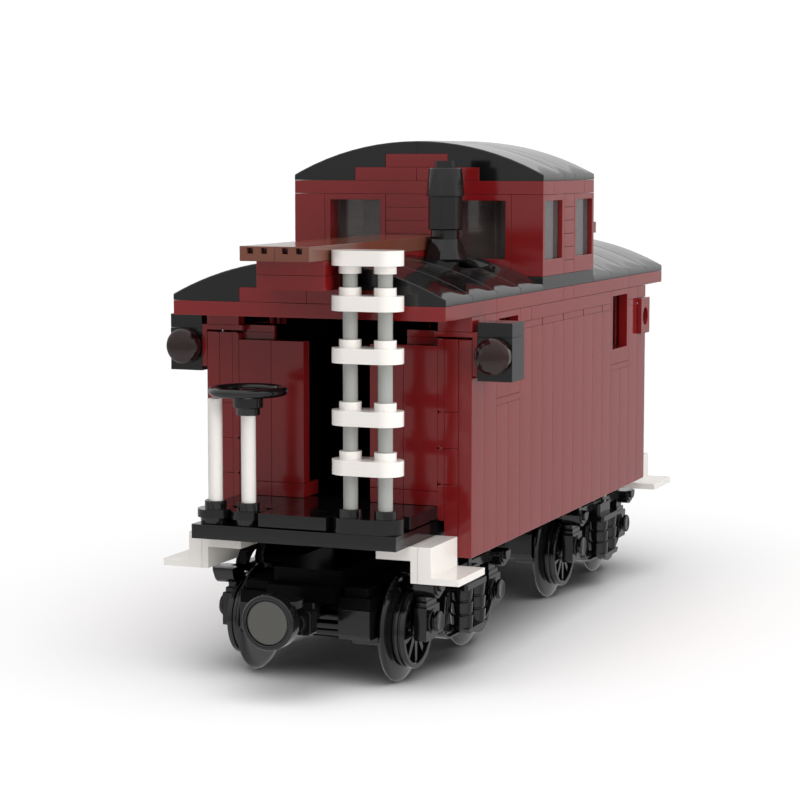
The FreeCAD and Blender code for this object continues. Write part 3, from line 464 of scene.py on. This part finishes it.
def arc(centre, radius, start, end, steps):
    """Points along an arc, between two angles in degrees."""
    points = []
    for step in range(steps + 1):
        angle = math.radians(start + (end - start) * step / steps)
        points.append((centre[0] + radius * math.cos(angle), centre[1] + radius * math.sin(angle)))
    return points


def torus(mesh, axis, centre, along, radius, wire, around=16):
    """A round ring of round wire."""
    outline = []
    for step in range(around):
        angle = 2 * math.pi * step / around
        outline.append((along + wire * math.sin(angle), radius + wire * math.cos(angle)))
    lathe(mesh, axis, centre, outline, FINE_SIDES, ring=True)


def middle(node):
    """Centre of a CAD node at rest, in millimetres."""
    low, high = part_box(node)
    return [(a + b) / 2 / MM for a, b in zip(low, high)]


def span(node, axis):
    """Where a CAD node begins and ends along an axis, in millimetres."""
    low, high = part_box(node)
    return low[axis] / MM, high[axis] / MM


def sharpen(data, crease):
    """Keeps the edges that turn by more than the crease angle crisp, and smooths the rest."""
    mesh = bmesh.new()
    mesh.from_mesh(data)
    for face in mesh.faces:
        face.smooth = True
    for edge in mesh.edges:
        edge.smooth = edge.calc_face_angle(0.0) < math.radians(crease)
    mesh.to_mesh(data)
    mesh.free()


def include(mesh, build, matrix=None):
    """Adds to a mesh what a builder makes, moved by the matrix."""
    part = bmesh.new()
    build(part)
    if matrix is not None:
        bmesh.ops.transform(part, matrix=matrix, verts=part.verts)
    bmesh.ops.recalc_face_normals(part, faces=part.faces)
    scrap = bpy.data.meshes.new("scrap")
    part.to_mesh(scrap)
    part.free()
    mesh.from_mesh(scrap)
    bpy.data.meshes.remove(scrap)


def make_object(name, mesh):
    """An object from a bmesh in millimetres, which it frees."""
    bmesh.ops.recalc_face_normals(mesh, faces=mesh.faces)
    bmesh.ops.scale(mesh, vec=(MM, MM, MM), verts=mesh.verts)
    data = bpy.data.meshes.new(name)
    mesh.to_mesh(data)
    mesh.free()
    made = bpy.data.objects.new(name, data)
    bpy.context.scene.collection.objects.link(made)
    return made


def make_piece(name, build, body, slot, nodes, edge=EDGE, matrices=(None,), finish=None,
               rolled=False, crease=None):
    """A piece from a builder, repeated once for each matrix, in place of CAD nodes."""
    mesh = bmesh.new()
    for matrix in matrices:
        include(mesh, build, matrix)
    piece = make_object(name, mesh)
    piece.data.materials.append(MATERIALS[finish or slot])
    if edge:
        soften(piece, edge)
    elif rolled:
        smoothed(piece.data)
    if crease:
        sharpen(piece.data, crease)
    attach(piece, body)
    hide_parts(*nodes)
    return piece


ENDS = {"front": Matrix.Identity(4), "rear": HALF_TURN}


# ---- wheels --------------------------------------------------------------------------------
SPOKES = 10
WHEEL_WIDE = 5.2
TREAD = 8.8
FLANGE = 12.0
# The spoke's corners: across it and out from the axle.
SPOKE = ((-0.75, 2.2), (0.75, 2.2), (0.48, 7.5), (-0.48, 7.5))


def wheel_shape(mesh, node):
    """One wheel at +X from its back to its face: flange, grooved tread, rim, spokes and hub."""
    _, y, z = middle(node)
    face = span(node, 0)[1]
    back = face - WHEEL_WIDE
    outline = [
        (back, 1.5), (back, 10.2), (back + 0.12, 10.9), (back + 0.4, 11.6), (back + 0.8, 11.93),
        (back + 1.05, FLANGE), (back + 1.3, 11.9), (back + 1.6, 11.3), (back + 1.9, 10.2),
        (back + 2.1, 9.4), (back + 2.3, TREAD), (back + 2.45, 8.35), (back + 2.75, 8.35), (back + 2.85, 8.72),
        (back + 3.0, TREAD), (back + 3.45, TREAD), (back + 3.6, 8.72), (back + 3.7, 8.4), (back + 3.95, 8.4),
        (back + 4.05, 8.72), (back + 4.2, TREAD), (face - 0.25, TREAD), (face - 0.06, 8.72), (face, 8.5),
        (face, 7.75), (face - 0.1, 7.6), (face - 1.5, 7.35), (face - 2.0, 7.1), (face - 2.1, 3.2),
        (face - 1.2, 2.95), (face - 0.7, 2.7), (face - 0.4, 2.45), (face - 0.4, 1.5),
    ]
    lathe(mesh, "X", (y, z), outline, FINE_SIDES, ring=True)
    for index in range(SPOKES):
        angle = 2 * math.pi * index / SPOKES
        turned = []
        for across, up in SPOKE:
            turned.append((
                y + across * math.cos(angle) - up * math.sin(angle),
                z + across * math.sin(angle) + up * math.cos(angle),
            ))
        prism(mesh, "X", turned, face - 2.3, face - 0.55)


def make_wheels():
    for end in ENDS:
        for row in ("outer", "inner"):
            axle = end + "_" + row
            node = axle + "_wheels"
            make_piece(
                axle + "_wheel_pair", lambda mesh: wheel_shape(mesh, node), axle + "_wheelset", "black",
                [node], edge=0.0, matrices=(None, FLIP_X),
            )


# ---- side frames and springs ---------------------------------------------------------------
AXLE_AWAY = 20.0                    # from the bogie's pivot to each axle
LUG_AWAY = 21.4
FRAME_IN = 21.7
FRAME_OUT = 24.6
SEAT_OUT = 27.9
SADDLE_IN = 19.6
SPRING_X = 25.4
SPRING_AWAY = 4.0
SPRING_SIDES = 14


def axle_box(mesh, y, low, high, inner, outer):
    """Axle box with a stepped top, dark neck rings and a round cap."""
    prism(mesh, "X", rounded((y - 3.97, y + 3.97), (low, high - 0.4), 0.5), inner, outer)
    prism(mesh, "X", rounded((y - 3.1, y + 3.1), (low + 2.0, high + 0.7), 0.6), inner, outer - 0.35)
    prism(mesh, "X", rounded((y - 2.3, y + 2.3), (high - 1.0, high + 3.4), 0.5), inner, outer - 0.7)
    centre = (y, (low + high) / 2)
    lathe(mesh, "X", centre, [
        (outer - 0.2, 2.75), (outer + 0.15, 2.75), (outer + 0.3, 2.6), (outer + 0.3, 1.9),
        (outer + 0.45, 1.7), (outer + 0.8, 1.7), (outer + 0.8, 2.2), (outer + 0.95, 2.4),
        (outer + 1.55, 2.4), (outer + 1.78, 2.2), (outer + 1.8, 1.9), (outer + 1.72, 1.7),
        (outer + 1.72, 0.0),
    ], 48)


def lug(mesh, y, z, ceiling, inner, outer):
    """Round lug at the end of the frame, cut level under the deck, with a ring on its face."""
    rings = ((3.2, inner, outer + 1.9), (2.6, outer + 1.8, outer + 2.3), (1.7, outer + 2.2, outer + 2.9))
    for radius, start, end in rings:
        trimmed = []
        for across, up in arc((y, z), radius, 0, 351, 39):
            point = (across, min(ceiling, up))
            if not trimmed or math.dist(point, trimmed[-1]) > 0.02:
                trimmed.append(point)
        prism(mesh, "X", trimmed, start, end)


def side_frame_shape(mesh):
    """The +X side frame of the front bogie."""
    node = "front_side_frames"
    pivot = middle(node)[1]
    inner, outer = FRAME_IN, FRAME_OUT
    low, high = span(node, 2)

    def mirrored(right):
        """An outline level in the middle, from its points on one side."""
        return [(pivot + y, z) for y, z in right] + [(pivot - y, z) for y, z in reversed(right)]

    chord = ((16.5, high - 2.0), (18.0, high - 1.5), (21.0, high - 1.3), (21.0, high))
    prism(mesh, "X", mirrored(chord), inner, outer - 0.5)
    trough = []
    lower = ((0.0, 0.0), (11.0, 0.0), (12.6, 0.25), (14.2, 1.0), (15.6, 2.2), (16.6, 3.6))
    upper = ((15.0, 3.9), (14.0, 2.9), (12.8, 2.0), (11.4, 1.5), (0.0, 1.5))
    for y, z in lower + upper:
        trough.append((pivot + y, low + z))
    for y, z in reversed((lower + upper)[1:-1]):
        trough.append((pivot - y, low + z))
    prism(mesh, "X", trough, inner, outer)
    rim = [(y, low + z) for y, z in lower] + [(y * 0.985, low + z + 0.55) for y, z in reversed(lower)]
    for side in (1, -1):
        prism(mesh, "X", [(pivot + side * y, z) for y, z in rim], outer - 0.1, outer + 0.7)
    for side in (-1, 1):
        axle_box(mesh, pivot + side * AXLE_AWAY, low + 1.7, low + 9.6, inner, outer)
        lug(mesh, pivot + side * LUG_AWAY, high - 0.5, high, inner, outer)
        for shift, deep in ((0.0, 0.0), (1.55, 0.0), (0.75, 0.9)):
            strip = [(14.2, 1.2), (13.1, 1.0), (11.4, 9.6), (12.3, 9.6)]
            outline = [(pivot + side * (a - shift), low + b) for a, b in strip]
            prism(mesh, "X", outline, inner, outer - deep)
        hook = arc((15.2, 5.6), 1.9, -70, 60, 8) + arc((15.2, 5.6), 1.1, 60, -70, 8)
        prism(mesh, "X", [(pivot + side * a, low + b) for a, b in hook], outer - 0.9, outer + 0.5)
    prism(mesh, "X", mirrored(((5.2, low + 0.2), (6.4, low + 1.3))), outer - 0.6, SEAT_OUT)
    prism(mesh, "Z", rounded((inner, 27.6), (pivot - 6.6, pivot + 6.6), 0.8), low + 10.0, low + 11.4)
    prism(mesh, "Z", rounded((inner, 26.0), (pivot - 5.0, pivot + 5.0), 0.8), low + 11.3, high - 0.4)
    saddle = ((13.0, high - 4.0), (13.0, high + 1.0), (9.5, high + 8.4))
    prism(mesh, "X", mirrored(saddle), SADDLE_IN, inner + 0.1)
    strut = arc((0.0, 0.0), 1.0, 0, 180, 10)
    for side in (-1, 1):
        curve = [(pivot + side * (10.5 + 7.5 * a), high - 1.0 + 5.5 * b) for a, b in strut]
        curve += [(pivot + side * (10.5 + 5.6 * a), high - 1.0 + 3.8 * b) for a, b in reversed(strut)]
        prism(mesh, "X", curve, inner, outer - 0.3)


def spring_shape(mesh):
    """Two stepped columns of faceted cups on the +X side of the front bogie."""
    node = "front_side_frames"
    pivot = middle(node)[1]
    low = span(node, 2)[0]
    for dy in (-SPRING_AWAY, SPRING_AWAY):
        lathe(mesh, "Z", (SPRING_X, pivot + dy), [
            (low + 0.9, 2.2), (low + 1.2, 2.45), (low + 3.9, 2.6), (low + 4.2, 2.6), (low + 4.3, 2.1),
            (low + 4.6, 2.1), (low + 4.7, 2.4), (low + 6.9, 2.55), (low + 7.2, 2.55), (low + 7.3, 2.05),
            (low + 7.6, 2.05), (low + 7.7, 2.3), (low + 9.6, 2.5), (low + 10.05, 2.5),
        ], SPRING_SIDES, turn=math.radians(18))


def make_side_frames():
    for end, matrix in ENDS.items():
        body = end + "_bogie"
        both = (matrix, matrix @ FLIP_X)
        make_piece(
            end + "_sprung_frames", side_frame_shape, body, "black", [end + "_side_frames"],
            edge=0.12, matrices=both,
        )
        make_piece(
            end + "_spring_cups", spring_shape, body, "black", [end + "_spring_columns"],
            edge=0.07, matrices=both,
        )


# ---- draw gear and the middle of the bogies ------------------------------------------------
MAGNET_R = 4.75
PEDESTAL_X = (8.05, 15.4)
# From the bogie's pivot: the axle, the front and the rear of each row of pedestals.
PEDESTAL_ROWS = ((-AXLE_AWAY, -4 * STUD, -STUD), (AXLE_AWAY, STUD, 4 * STUD))
BAR_X = (-8.3, 8.3)


def coupler_shape(mesh):
    """Draw arm of the front coupler: magnet housing, throat, arm, eye and the hose fitting."""
    node = "front_coupler_arm"
    front, back = span(node, 1)
    z = middle("front_coupler_magnet")[2]
    pin = back - 3.5
    lathe(mesh, "Y", (z, 0.0), [
        (front + 3.0, 4.77), (front + 0.2, 4.77), (front, 4.95), (front, 5.55), (front + 0.18, 5.8),
        (front + 0.45, 5.95), (front + 3.6, 5.95), (front + 3.9, 5.8), (front + 4.4, 5.2), (front + 5.4, 4.2),
        (front + 6.6, 3.5), (front + 7.2, 3.4), (front + 7.2, 1.5), (front + 3.0, 1.5),
    ], ring=True)
    plate = rounded((-2.8, 2.8), (front + 5.0, back - 0.2), 2.0)
    prism(mesh, "Z", plate, z - 2.4, z + 1.6)
    web = [
        (-4.6, front + 1.6), (3.4, front + 1.4), (5.2, front + 4.0), (5.4, front + 7.0),
        (3.0, front + 9.6), (-2.6, front + 10.6), (-4.6, front + 6.0),
    ]
    prism(mesh, "Z", web, z + 2.6, z + 4.3)
    lathe(mesh, "Z", (0.0, pin), [
        (z - 2.4, 1.55), (z - 2.4, 3.3), (z - 2.2, 3.5), (z + 1.4, 3.5), (z + 1.6, 3.3), (z + 1.6, 1.55),
    ], ring=True)
    start, end = front + 7.5, front + 12.0
    prism(mesh, "Y", rounded((z - 3.9, z + 1.3), (2.3, 6.2), 0.5), start + 0.8, end)
    hose = (z - 1.2, 3.2)
    prism(mesh, "Y", arc(hose, 2.0, 20, 250, 12) + arc(hose, 1.15, 250, 20, 12), start, start + 1.3)
    lathe(mesh, "Y", hose, [
        (start - 0.3, 0.0), (start - 0.3, 0.6), (start + 1.0, 0.75), (start + 1.0, 0.0),
    ], 24)
    prism(mesh, "Y", rounded((z - 3.7, z - 2.6), (1.6, 4.6), 0.3), start + 0.1, end - 1.0)


def magnet_shape(mesh):
    """Plated disc with a turned edge."""
    front, back = span("front_coupler_magnet", 1)
    z = middle("front_coupler_magnet")[2]
    lathe(mesh, "Y", (z, 0.0), [
        (front, 0.0), (front, MAGNET_R - 0.45), (front + 0.12, MAGNET_R - 0.18), (front + 0.42, MAGNET_R),
        (back, MAGNET_R), (back, 0.0),
    ], FINE_SIDES)


def pedestal_rows():
    """The axle, front and rear of each row of pedestals of the front bogie."""
    pivot = middle("front_bogie_plate")[1]
    return [[pivot + away for away in row] for row in PEDESTAL_ROWS]


def pedestal_shape(mesh):
    """Pedestals of the front bogie inside the wheels, joined by bars."""
    low, _ = span("front_axle_holders", 2)
    for y, front, rear in pedestal_rows():
        outline = [
            (front + SEAM, low + 9.0), (front + SEAM, low + 3.4), (front + 0.9, low + 2.4),
            (y - 4.5, low + 2.4), (y - 4.2, low + 0.3), (y - 3.9, low), (y + 3.9, low), (y + 4.2, low + 0.3),
            (y + 4.5, low + 2.4), (rear - 0.9, low + 2.4), (rear - SEAM, low + 3.4), (rear - SEAM, low + 9.0),
        ]
        for side in (-1, 1):
            prism(mesh, "X", outline, *sorted(side * x for x in PEDESTAL_X))
        for bar in ((low + 2.6, low + 3.7), (low + 4.0, low + 5.2), (low + 6.0, low + 7.2)):
            slab(mesh, BAR_X, (y - 9.4, y - 8.0), bar)
            slab(mesh, BAR_X, (y + 6.0, y + 7.4), bar)


def inset(reach, by):
    """A span made shorter at both ends."""
    return reach[0] + by, reach[1] - by


def bogie_core_shape(mesh):
    """Lids of the pedestals, a dark wall behind the bars that stands in for the shade there, and the cross
    members, all in deep shade.
    """
    pivot = middle("front_bogie_plate")[1]
    low, high = span("front_axle_holders", 2)
    top = high - 0.05
    for y, front, rear in pedestal_rows():
        along = (front, rear)
        for side in (-1, 1):
            x = sorted(side * across for across in PEDESTAL_X)
            slab(mesh, inset(x, 0.6), inset(along, 0.6), (low + 8.5, low + 9.8))
            prism(mesh, "Z", rounded(x, along, 0.4), low + 9.15, low + 11.7)
            prism(mesh, "Z", rounded(inset(x, 0.8), inset(along, 1.2), 0.4), low + 11.6, top)
        slab(mesh, (-9.0, 9.0), (front + (9.0 if y < pivot else 1.0), rear), (low + 10.6, top))
        # A dark sheet behind the bars, put there as painted shade to hide the lit floor beyond.
        slab(mesh, BAR_X, (y - 7.6, y - 7.0), (low + 1.8, low + 9.0))
    slab(mesh, (-21.5, 21.5), (pivot - 5.97, pivot + 5.97), (low + 8.0, high - 0.6))


def make_draw_gear():
    for end, matrix in ENDS.items():
        arm, bogie = end + "_coupler", end + "_bogie"
        holders, at = [end + "_axle_holders"], (matrix,)
        make_piece(end + "_draw_arm", coupler_shape, arm, "black", [arm + "_arm"], 0.12, at)
        make_piece(end + "_magnet_disc", magnet_shape, arm, "magnet", [arm + "_magnet"], 0.0, at)
        make_piece(end + "_pedestals", pedestal_shape, bogie, "black", holders, 0.12, at)
        # The lids, the wall behind the bars and the cross members take the darker black as painted shade.
        make_piece(end + "_bogie_core", bogie_core_shape, bogie, "black", holders, 0.12, at, "black_painted_shade")


# ---- chimney, lamps and hand wheels --------------------------------------------------------
FLATS = 8
FIRST_FLAT = math.radians(-60.0)
CAP_STEPS = 8
RIDGES = 8                          # on the stud of the cap
FOOT_TALL = 6.8
CHIMNEY_CREASE = 8
LENS_R = 4.0


def fluted(mesh, x, y, levels):
    """A turned solid with flats cut into it: levels hold z, its radius and how far off the flats are."""
    loops = []
    sector = 2 * math.pi / FLATS
    for z, radius, flat in levels:
        loop = []
        for index in range(FINE_SIDES):
            angle = 2 * math.pi * index / FINE_SIDES
            beside = ((angle - FIRST_FLAT) / sector + 0.5) % 1.0 - 0.5
            reach = min(radius, flat / math.cos(beside * sector))
            loop.append(mesh.verts.new((x + reach * math.cos(angle), y + reach * math.sin(angle), z)))
        loops.append(loop)
    bridge(mesh, loops)
    mesh.faces.new(loops[0])
    mesh.faces.new(loops[-1])


def chimney_shape(mesh):
    """Eight-sided barrel, tapered cap with lancet facets, and the grooved stud on the cap."""
    x, y, _ = middle("chimney_body")
    start, end = span("chimney_body", 2)
    top = span("chimney_cap", 2)[1]
    fluted(mesh, x, y, [
        (start, 3.8, 3.7), (start + 0.3, 4.12, 3.86), (end - 0.15, 4.12, 3.86), (end - 0.1, 3.85, 3.8),
        (end + 0.1, 3.85, 3.8),
    ])
    low, high = end + SEAM, top - 1.7
    levels = [(low, 4.45, 4.1), (low + 0.1, 4.6, 4.22)]
    for step in range(CAP_STEPS + 1):
        share = step / CAP_STEPS
        levels.append((low + 0.15 + (high - low - 0.35) * share, 4.6 - 0.75 * share, 4.22 - 0.34 * share))
    levels.append((high, 3.7, 3.7))
    fluted(mesh, x, y, levels)
    ridged = []
    for index in range(4 * RIDGES):
        angle = math.pi / 2 * index / RIDGES
        radius = 2.5 if index % 4 < 2 else 2.36
        ridged.append((x + radius * math.cos(angle), y + radius * math.sin(angle)))
    prism(mesh, "Z", ridged, high - 0.05, top - 0.05)


def chimney_foot_shape(mesh):
    """Flared foot with eight flats, cut level where the roof walk passes."""
    x, y, _ = middle("chimney_body")
    seat = span("chimney_base", 2)[0]
    neck = span("chimney_body", 2)[0]
    foot = neck - FOOT_TALL
    fluted(mesh, x, y, [
        (seat, 3.2, 3.2), (foot - 0.6, 3.2, 3.2), (foot - 0.45, 5.2, 4.85), (foot + 0.15, 5.35, 4.95),
        (foot + 1.3, 5.0, 4.6), (foot + 2.5, 4.55, 4.25), (foot + 3.7, 4.0, 3.85), (foot + 4.7, 3.6, 3.6),
        (foot + 4.75, 3.3, 3.3), (neck + 0.1, 3.3, 3.3),
    ])
    everything = mesh.verts[:] + mesh.edges[:] + mesh.faces[:]
    side = (span("chimney_base", 0)[0], 0, 0)
    bmesh.ops.bisect_plane(mesh, geom=everything, plane_co=side, plane_no=(1, 0, 0), clear_inner=True)
    bmesh.ops.holes_fill(mesh, edges=[edge for edge in mesh.edges if edge.is_boundary])


def make_chimney():
    for name, build, nodes in (
        ("chimney_stack", chimney_shape, ["chimney_body", "chimney_cap"]),
        ("chimney_foot", chimney_foot_shape, ["chimney_base"]),
    ):
        make_piece(name, build, "shell", "black", nodes, 0.0, crease=CHIMNEY_CREASE)


def lens_shape(mesh):
    """Round lens with a soft rim and a turned groove behind it."""
    x = span("lamp_lenses", 0)[1] - LENS_R
    z = middle("lamp_lenses")[2]
    front, back = span("lamp_lenses", 1)
    lathe(mesh, "Y", (z, x), [
        (front, 0.0), (front + 0.03, 1.0), (front + 0.11, 1.9), (front + 0.22, 2.7), (front + 0.38, 3.3),
        (front + 0.6, 3.7), (front + 0.95, 3.93), (front + 1.3, 3.99),
        (back - 0.45, 3.99), (back - 0.4, 3.7), (back - 0.03, 3.7), (back - 0.03, 2.45),
        (back - 1.15, 2.45), (back - 1.15, 0.0),
    ], FINE_SIDES)


def brake_shape(mesh):
    """Hand wheel of the front end: round ring, four spokes, dished crown and a notched hub."""
    x, y, _ = middle("front_brake_wheel")
    low, high = span("front_brake_wheel", 2)
    centre = (x, y)
    torus(mesh, "Z", centre, high - 1.0, 7.6, 0.98)
    lathe(mesh, "Z", centre, [
        (low, 1.66), (low, 2.45), (low + 0.12, 2.6), (low + 1.5, 2.6), (low + 1.6, 3.15), (low + 1.75, 3.3),
        (low + 3.8, 3.3), (low + 4.0, 3.1), (low + 4.0, 1.66),
    ], ring=True)
    lathe(mesh, "Z", centre, [
        (low + 2.85, 0.0), (low + 2.85, 2.0), (low + 4.1, 2.1), (high - 0.7, 1.9), (high - 0.55, 1.6),
        (high - 0.55, 0.0),
    ])
    hub = Matrix.Translation(Vector((x, y, 0)))
    side = ((high - 2.0, 1.2), (high - 1.45, 7.3), (high - 0.6, 7.3), (high - 0.75, 1.2))
    for angle in (45, 135, 225, 315):
        prism(mesh, "Y", side, -0.7, 0.7, hub @ Matrix.Rotation(math.radians(angle), 4, "Z"))
    for angle in (0, 90):
        turn = hub @ Matrix.Rotation(math.radians(angle), 4, "Z")
        slab(mesh, (-0.5, 0.5), (-3.28, 3.28), (low + 2.2, low + 3.9), turn)


def make_fittings():
    make_piece("lamp_lens_pair", lens_shape, "shell", "red_lens", ["lamp_lenses"], 0.0, (None, FLIP_X))
    for end, matrix in ENDS.items():
        make_piece(
            end + "_hand_wheel", brake_shape, end + "_handbrake", "black", [end + "_brake_wheel"],
            0.06, (matrix,),
        )


# ---- windows -------------------------------------------------------------------------------
WALL = 4 * STUD                     # from the middle of the car to the face of its sides
END_WALL = 2.5 * STUD               # the same for the ends of the cupola
WINDOW_BAR = 1.45                   # bar round the opening, and how high its foot is
WINDOW_FOOT = 3.9
WINDOW_TALL = 2 * BRICK
WINDOW_BACK = 7.94
SIDE_LIP = 2.3                      # depth of the lips: side windows, cupola's sides, cupola's ends
CUPOLA_LIP = 1.15
END_LIP = 5.0
PANE_PLAY = 0.05
PANE_THICK = 0.8
CAR_ROWS = ((-6.5 * STUD, -4.5 * STUD), (4.5 * STUD, 6.5 * STUD))
CUPOLA_ROWS = ((-2.5 * STUD, -0.5 * STUD), (0.5 * STUD, 2.5 * STUD))
END_ROW = (-STUD, STUD)
BEAD_DEPTH = (3.7, 3.2)
BEAD_WIDE = (0.35, 0.85)


def window_ring(mesh, x, edges):
    """Four corners at a depth, for a window that faces +X; edges are y, y, z, z."""
    y0, y1, z0, z1 = edges
    return [mesh.verts.new((x, *corner)) for corner in ((y0, z0), (y1, z0), (y1, z1), (y0, z1))]


def grown(edges, by):
    """A window's edges, moved outwards."""
    return edges[0] - by, edges[1] + by, edges[2] - by, edges[3] + by


def opening(y, z):
    """The edges of the opening in a window that spans y and stands at z."""
    return y[0] + WINDOW_BAR, y[1] - WINDOW_BAR, z + WINDOW_FOOT, z + WINDOW_TALL - WINDOW_BAR


def framed(mesh, wall, y, z, lip, rebate=0.9):
    """A window element that faces +X: a lip round the opening and a wider rebate behind it."""
    face = wall - SEAM
    outer = grown((*y, z, z + WINDOW_TALL), -SEAM)
    hole = opening(y, z)
    wide = grown(hole, rebate)
    steps = ((0, outer), (0, hole), (lip, hole), (lip, wide), (WINDOW_BACK, wide), (WINDOW_BACK, outer))
    rings = [window_ring(mesh, face - depth, edges) for depth, edges in steps]
    bridge(mesh, rings + rings[:1])


def pane(mesh, wall, y, z, lip, rebate=0.8):
    """A pane behind the lip, with a narrow bevelled border on its face."""
    face = wall - SEAM - lip - PANE_PLAY
    edges = grown(opening(y, z), rebate)
    steps = ((0.0, 0.45), (0.12, 0.0), (PANE_THICK, 0.0))
    rings = [window_ring(mesh, face - back, grown(edges, -border)) for back, border in steps]
    bridge(mesh, rings)
    mesh.faces.new(rings[0])
    mesh.faces.new(rings[-1])


# Turns what faces +X so that it faces -Y and stands to the right of the middle.
TO_THE_END = Matrix.Translation(Vector((2 * STUD, 0, 0))) @ Matrix.Rotation(-math.pi / 2, 4, "Z")


def make_windows():
    low = span("side_windows", 2)[0] - SEAM
    cupola = span("cupola_windows", 2)[0] - SEAM

    def lower_frames(mesh):
        for y in CAR_ROWS:
            framed(mesh, WALL, y, low, SIDE_LIP)
            _, jamb, foot, head = opening(y, low)
            bead_x = [WALL - depth for depth in BEAD_DEPTH]
            slab(mesh, bead_x, [jamb + away for away in BEAD_WIDE], (foot, head))

    def end_frame(mesh):
        framed(mesh, END_WALL, END_ROW, cupola, END_LIP, 0.7)

    def cupola_frames(mesh):
        for y in CUPOLA_ROWS:
            framed(mesh, WALL, y, cupola, CUPOLA_LIP)
        for matrix in (TO_THE_END, FLIP_Y @ TO_THE_END):
            include(mesh, end_frame, matrix)

    def side_panes(mesh):
        for y in CUPOLA_ROWS:
            pane(mesh, WALL, y, cupola, CUPOLA_LIP)

    def end_pane(mesh):
        pane(mesh, END_WALL, END_ROW, cupola, END_LIP, 0.6)

    both = (None, FLIP_X)
    four = [turn @ TO_THE_END for turn in (Matrix.Identity(4), FLIP_X, HALF_TURN, HALF_TURN @ FLIP_X)]
    for name, build, slot, node, edge, matrices, finish in (
        ("lower_window_frames", lower_frames, "dark_red", "side_windows", EDGE, both, "dark_red_shaded_inside"),
        ("upper_window_frames", cupola_frames, "dark_red", "cupola_windows", EDGE, both, None),
        # The side panes take the darker copy of the smoke pane: painted shade.
        ("upper_side_panes", side_panes, "smoke_pane", "cupola_panes", 0.0, both, "shaded_smoke_pane"),
        ("upper_end_panes", end_pane, "smoke_pane", "cupola_panes", 0.0, four, None),
    ):
        make_piece(name, build, "shell", slot, [node], edge, matrices, finish)


# ---- roof ----------------------------------------------------------------------------------
ROOF_RADIUS = 68.0
CROWN = 0.18                        # how much lower a slope is at its ends
SLOPE_GAP = 0.05
SLOPE_LONG = 2 * STUD
FIRST_SLOPE = -10.5 * STUD
# Sections along a slope: the share of its length, the depth of the roll at the lip, and a chamfer.
SECTIONS = ((0.0, 1.5, 0.2), (0.014, 1.5, 0.0), (0.55, 4.8, 0.0), (0.986, 1.5, 0.0), (1.0, 1.5, 0.2))
ARC_STEPS = 9


def slope_shape(mesh, under, y0, y1):
    """A curved slope, from its stepped underside, with a roll at the lip that is deepest half way."""
    inner, outer, eave = under[0][0], under[-1][0], under[-1][1]
    centre_z = eave + BRICK - 2 * SEAM - ROOF_RADIUS
    sections = []
    for share, depth, drop in SECTIONS:
        y = y0 + SLOPE_GAP + (y1 - y0 - 2 * SLOPE_GAP) * share
        sag = CROWN * (2 * share - 1) ** 2 + drop
        lip = outer - depth
        reach = [outer] + [lip + (inner - lip) * step / ARC_STEPS for step in range(ARC_STEPS + 1)]
        points = [(x, centre_z + math.sqrt(ROOF_RADIUS ** 2 - x ** 2) - sag) for x in reach] + under
        sections.append([mesh.verts.new((x, y, z)) for x, z in points])
    bridge(mesh, sections)
    mesh.faces.new(sections[0])
    mesh.faces.new(sections[-1])
    crisp = []
    for first, second in zip(sections, sections[1:]):
        crisp += list(zip(first, second))[ARC_STEPS + 1:]
    for loop in (sections[0], sections[1], sections[-2], sections[-1]):
        crisp += zip(loop, loop[1:] + loop[:1])
    for pair in crisp:
        mesh.edges.get(pair).smooth = False


def carved(piece, x, y, z):
    """Cuts a box, given as spans in millimetres, out of a piece."""
    mesh = bmesh.new()
    slab(mesh, x, y, z)
    cutter = make_object("cutter", mesh)
    cut = piece.modifiers.new("cut", "BOOLEAN")
    cut.operation = "DIFFERENCE"
    cut.solver = "EXACT"
    cut.object = cutter
    bpy.context.view_layer.update()
    evaluated = piece.evaluated_get(bpy.context.evaluated_depsgraph_get())
    whole, scrap = piece.data, cutter.data
    piece.data = bpy.data.meshes.new_from_object(evaluated)
    piece.modifiers.remove(cut)
    bpy.data.objects.remove(cutter)
    for data in (whole, scrap):
        bpy.data.meshes.remove(data)
    smoothed(piece.data)


def make_roof():
    eave = span("roof_slopes_right", 2)[0]
    top = span("cupola_roof", 2)[0]
    seams = [SEAM + STUD * count for count in range(3)]
    lip = WALL - SEAM
    main = [(seams[1], eave + PLATE), (seams[2], eave + PLATE), (seams[2], eave), (lip, eave)]
    upper = [
        (seams[0], top + 2 * PLATE), (seams[1], top + 2 * PLATE), (seams[1], top + PLATE),
        (seams[2], top + PLATE), (seams[2], top), (lip, top),
    ]

    def run(mesh):
        for index in range(4):
            y = FIRST_SLOPE + SLOPE_LONG * index
            slope_shape(mesh, main, y, y + SLOPE_LONG)

    def cupola(mesh):
        for y0, y1 in ((-2.5, -0.5), (-0.5, 0.5), (0.5, 2.5)):
            slope_shape(mesh, upper, y0 * STUD, y1 * STUD)

    made = {}
    for name, build, node, matrices in (
        ("right_slopes", run, "roof_slopes_right", (None, HALF_TURN @ FLIP_X)),
        ("left_slopes", run, "roof_slopes_left", (FLIP_X, HALF_TURN)),
        ("upper_slopes", cupola, "cupola_roof", (None, FLIP_X)),
    ):
        made[name] = make_piece(name, build, "shell", "black", [node], 0.0, matrices, rolled=True)
    carved(made["right_slopes"], (4.0, 21.5), (-44.0, -27.4), (eave + 2.6, eave + 30.0))


# ---- the scene -----------------------------------------------------------------------------
bpy.context.scene.view_settings.view_transform = "Standard"
bpy.context.scene.view_settings.look = "None"
MATERIALS = make_materials()
make_camera()
make_world()
make_key(make_floor())
dress_nodes(MATERIALS)
make_wheels()
make_side_frames()
make_draw_gear()
make_chimney()
make_fittings()
make_windows()
make_roof()
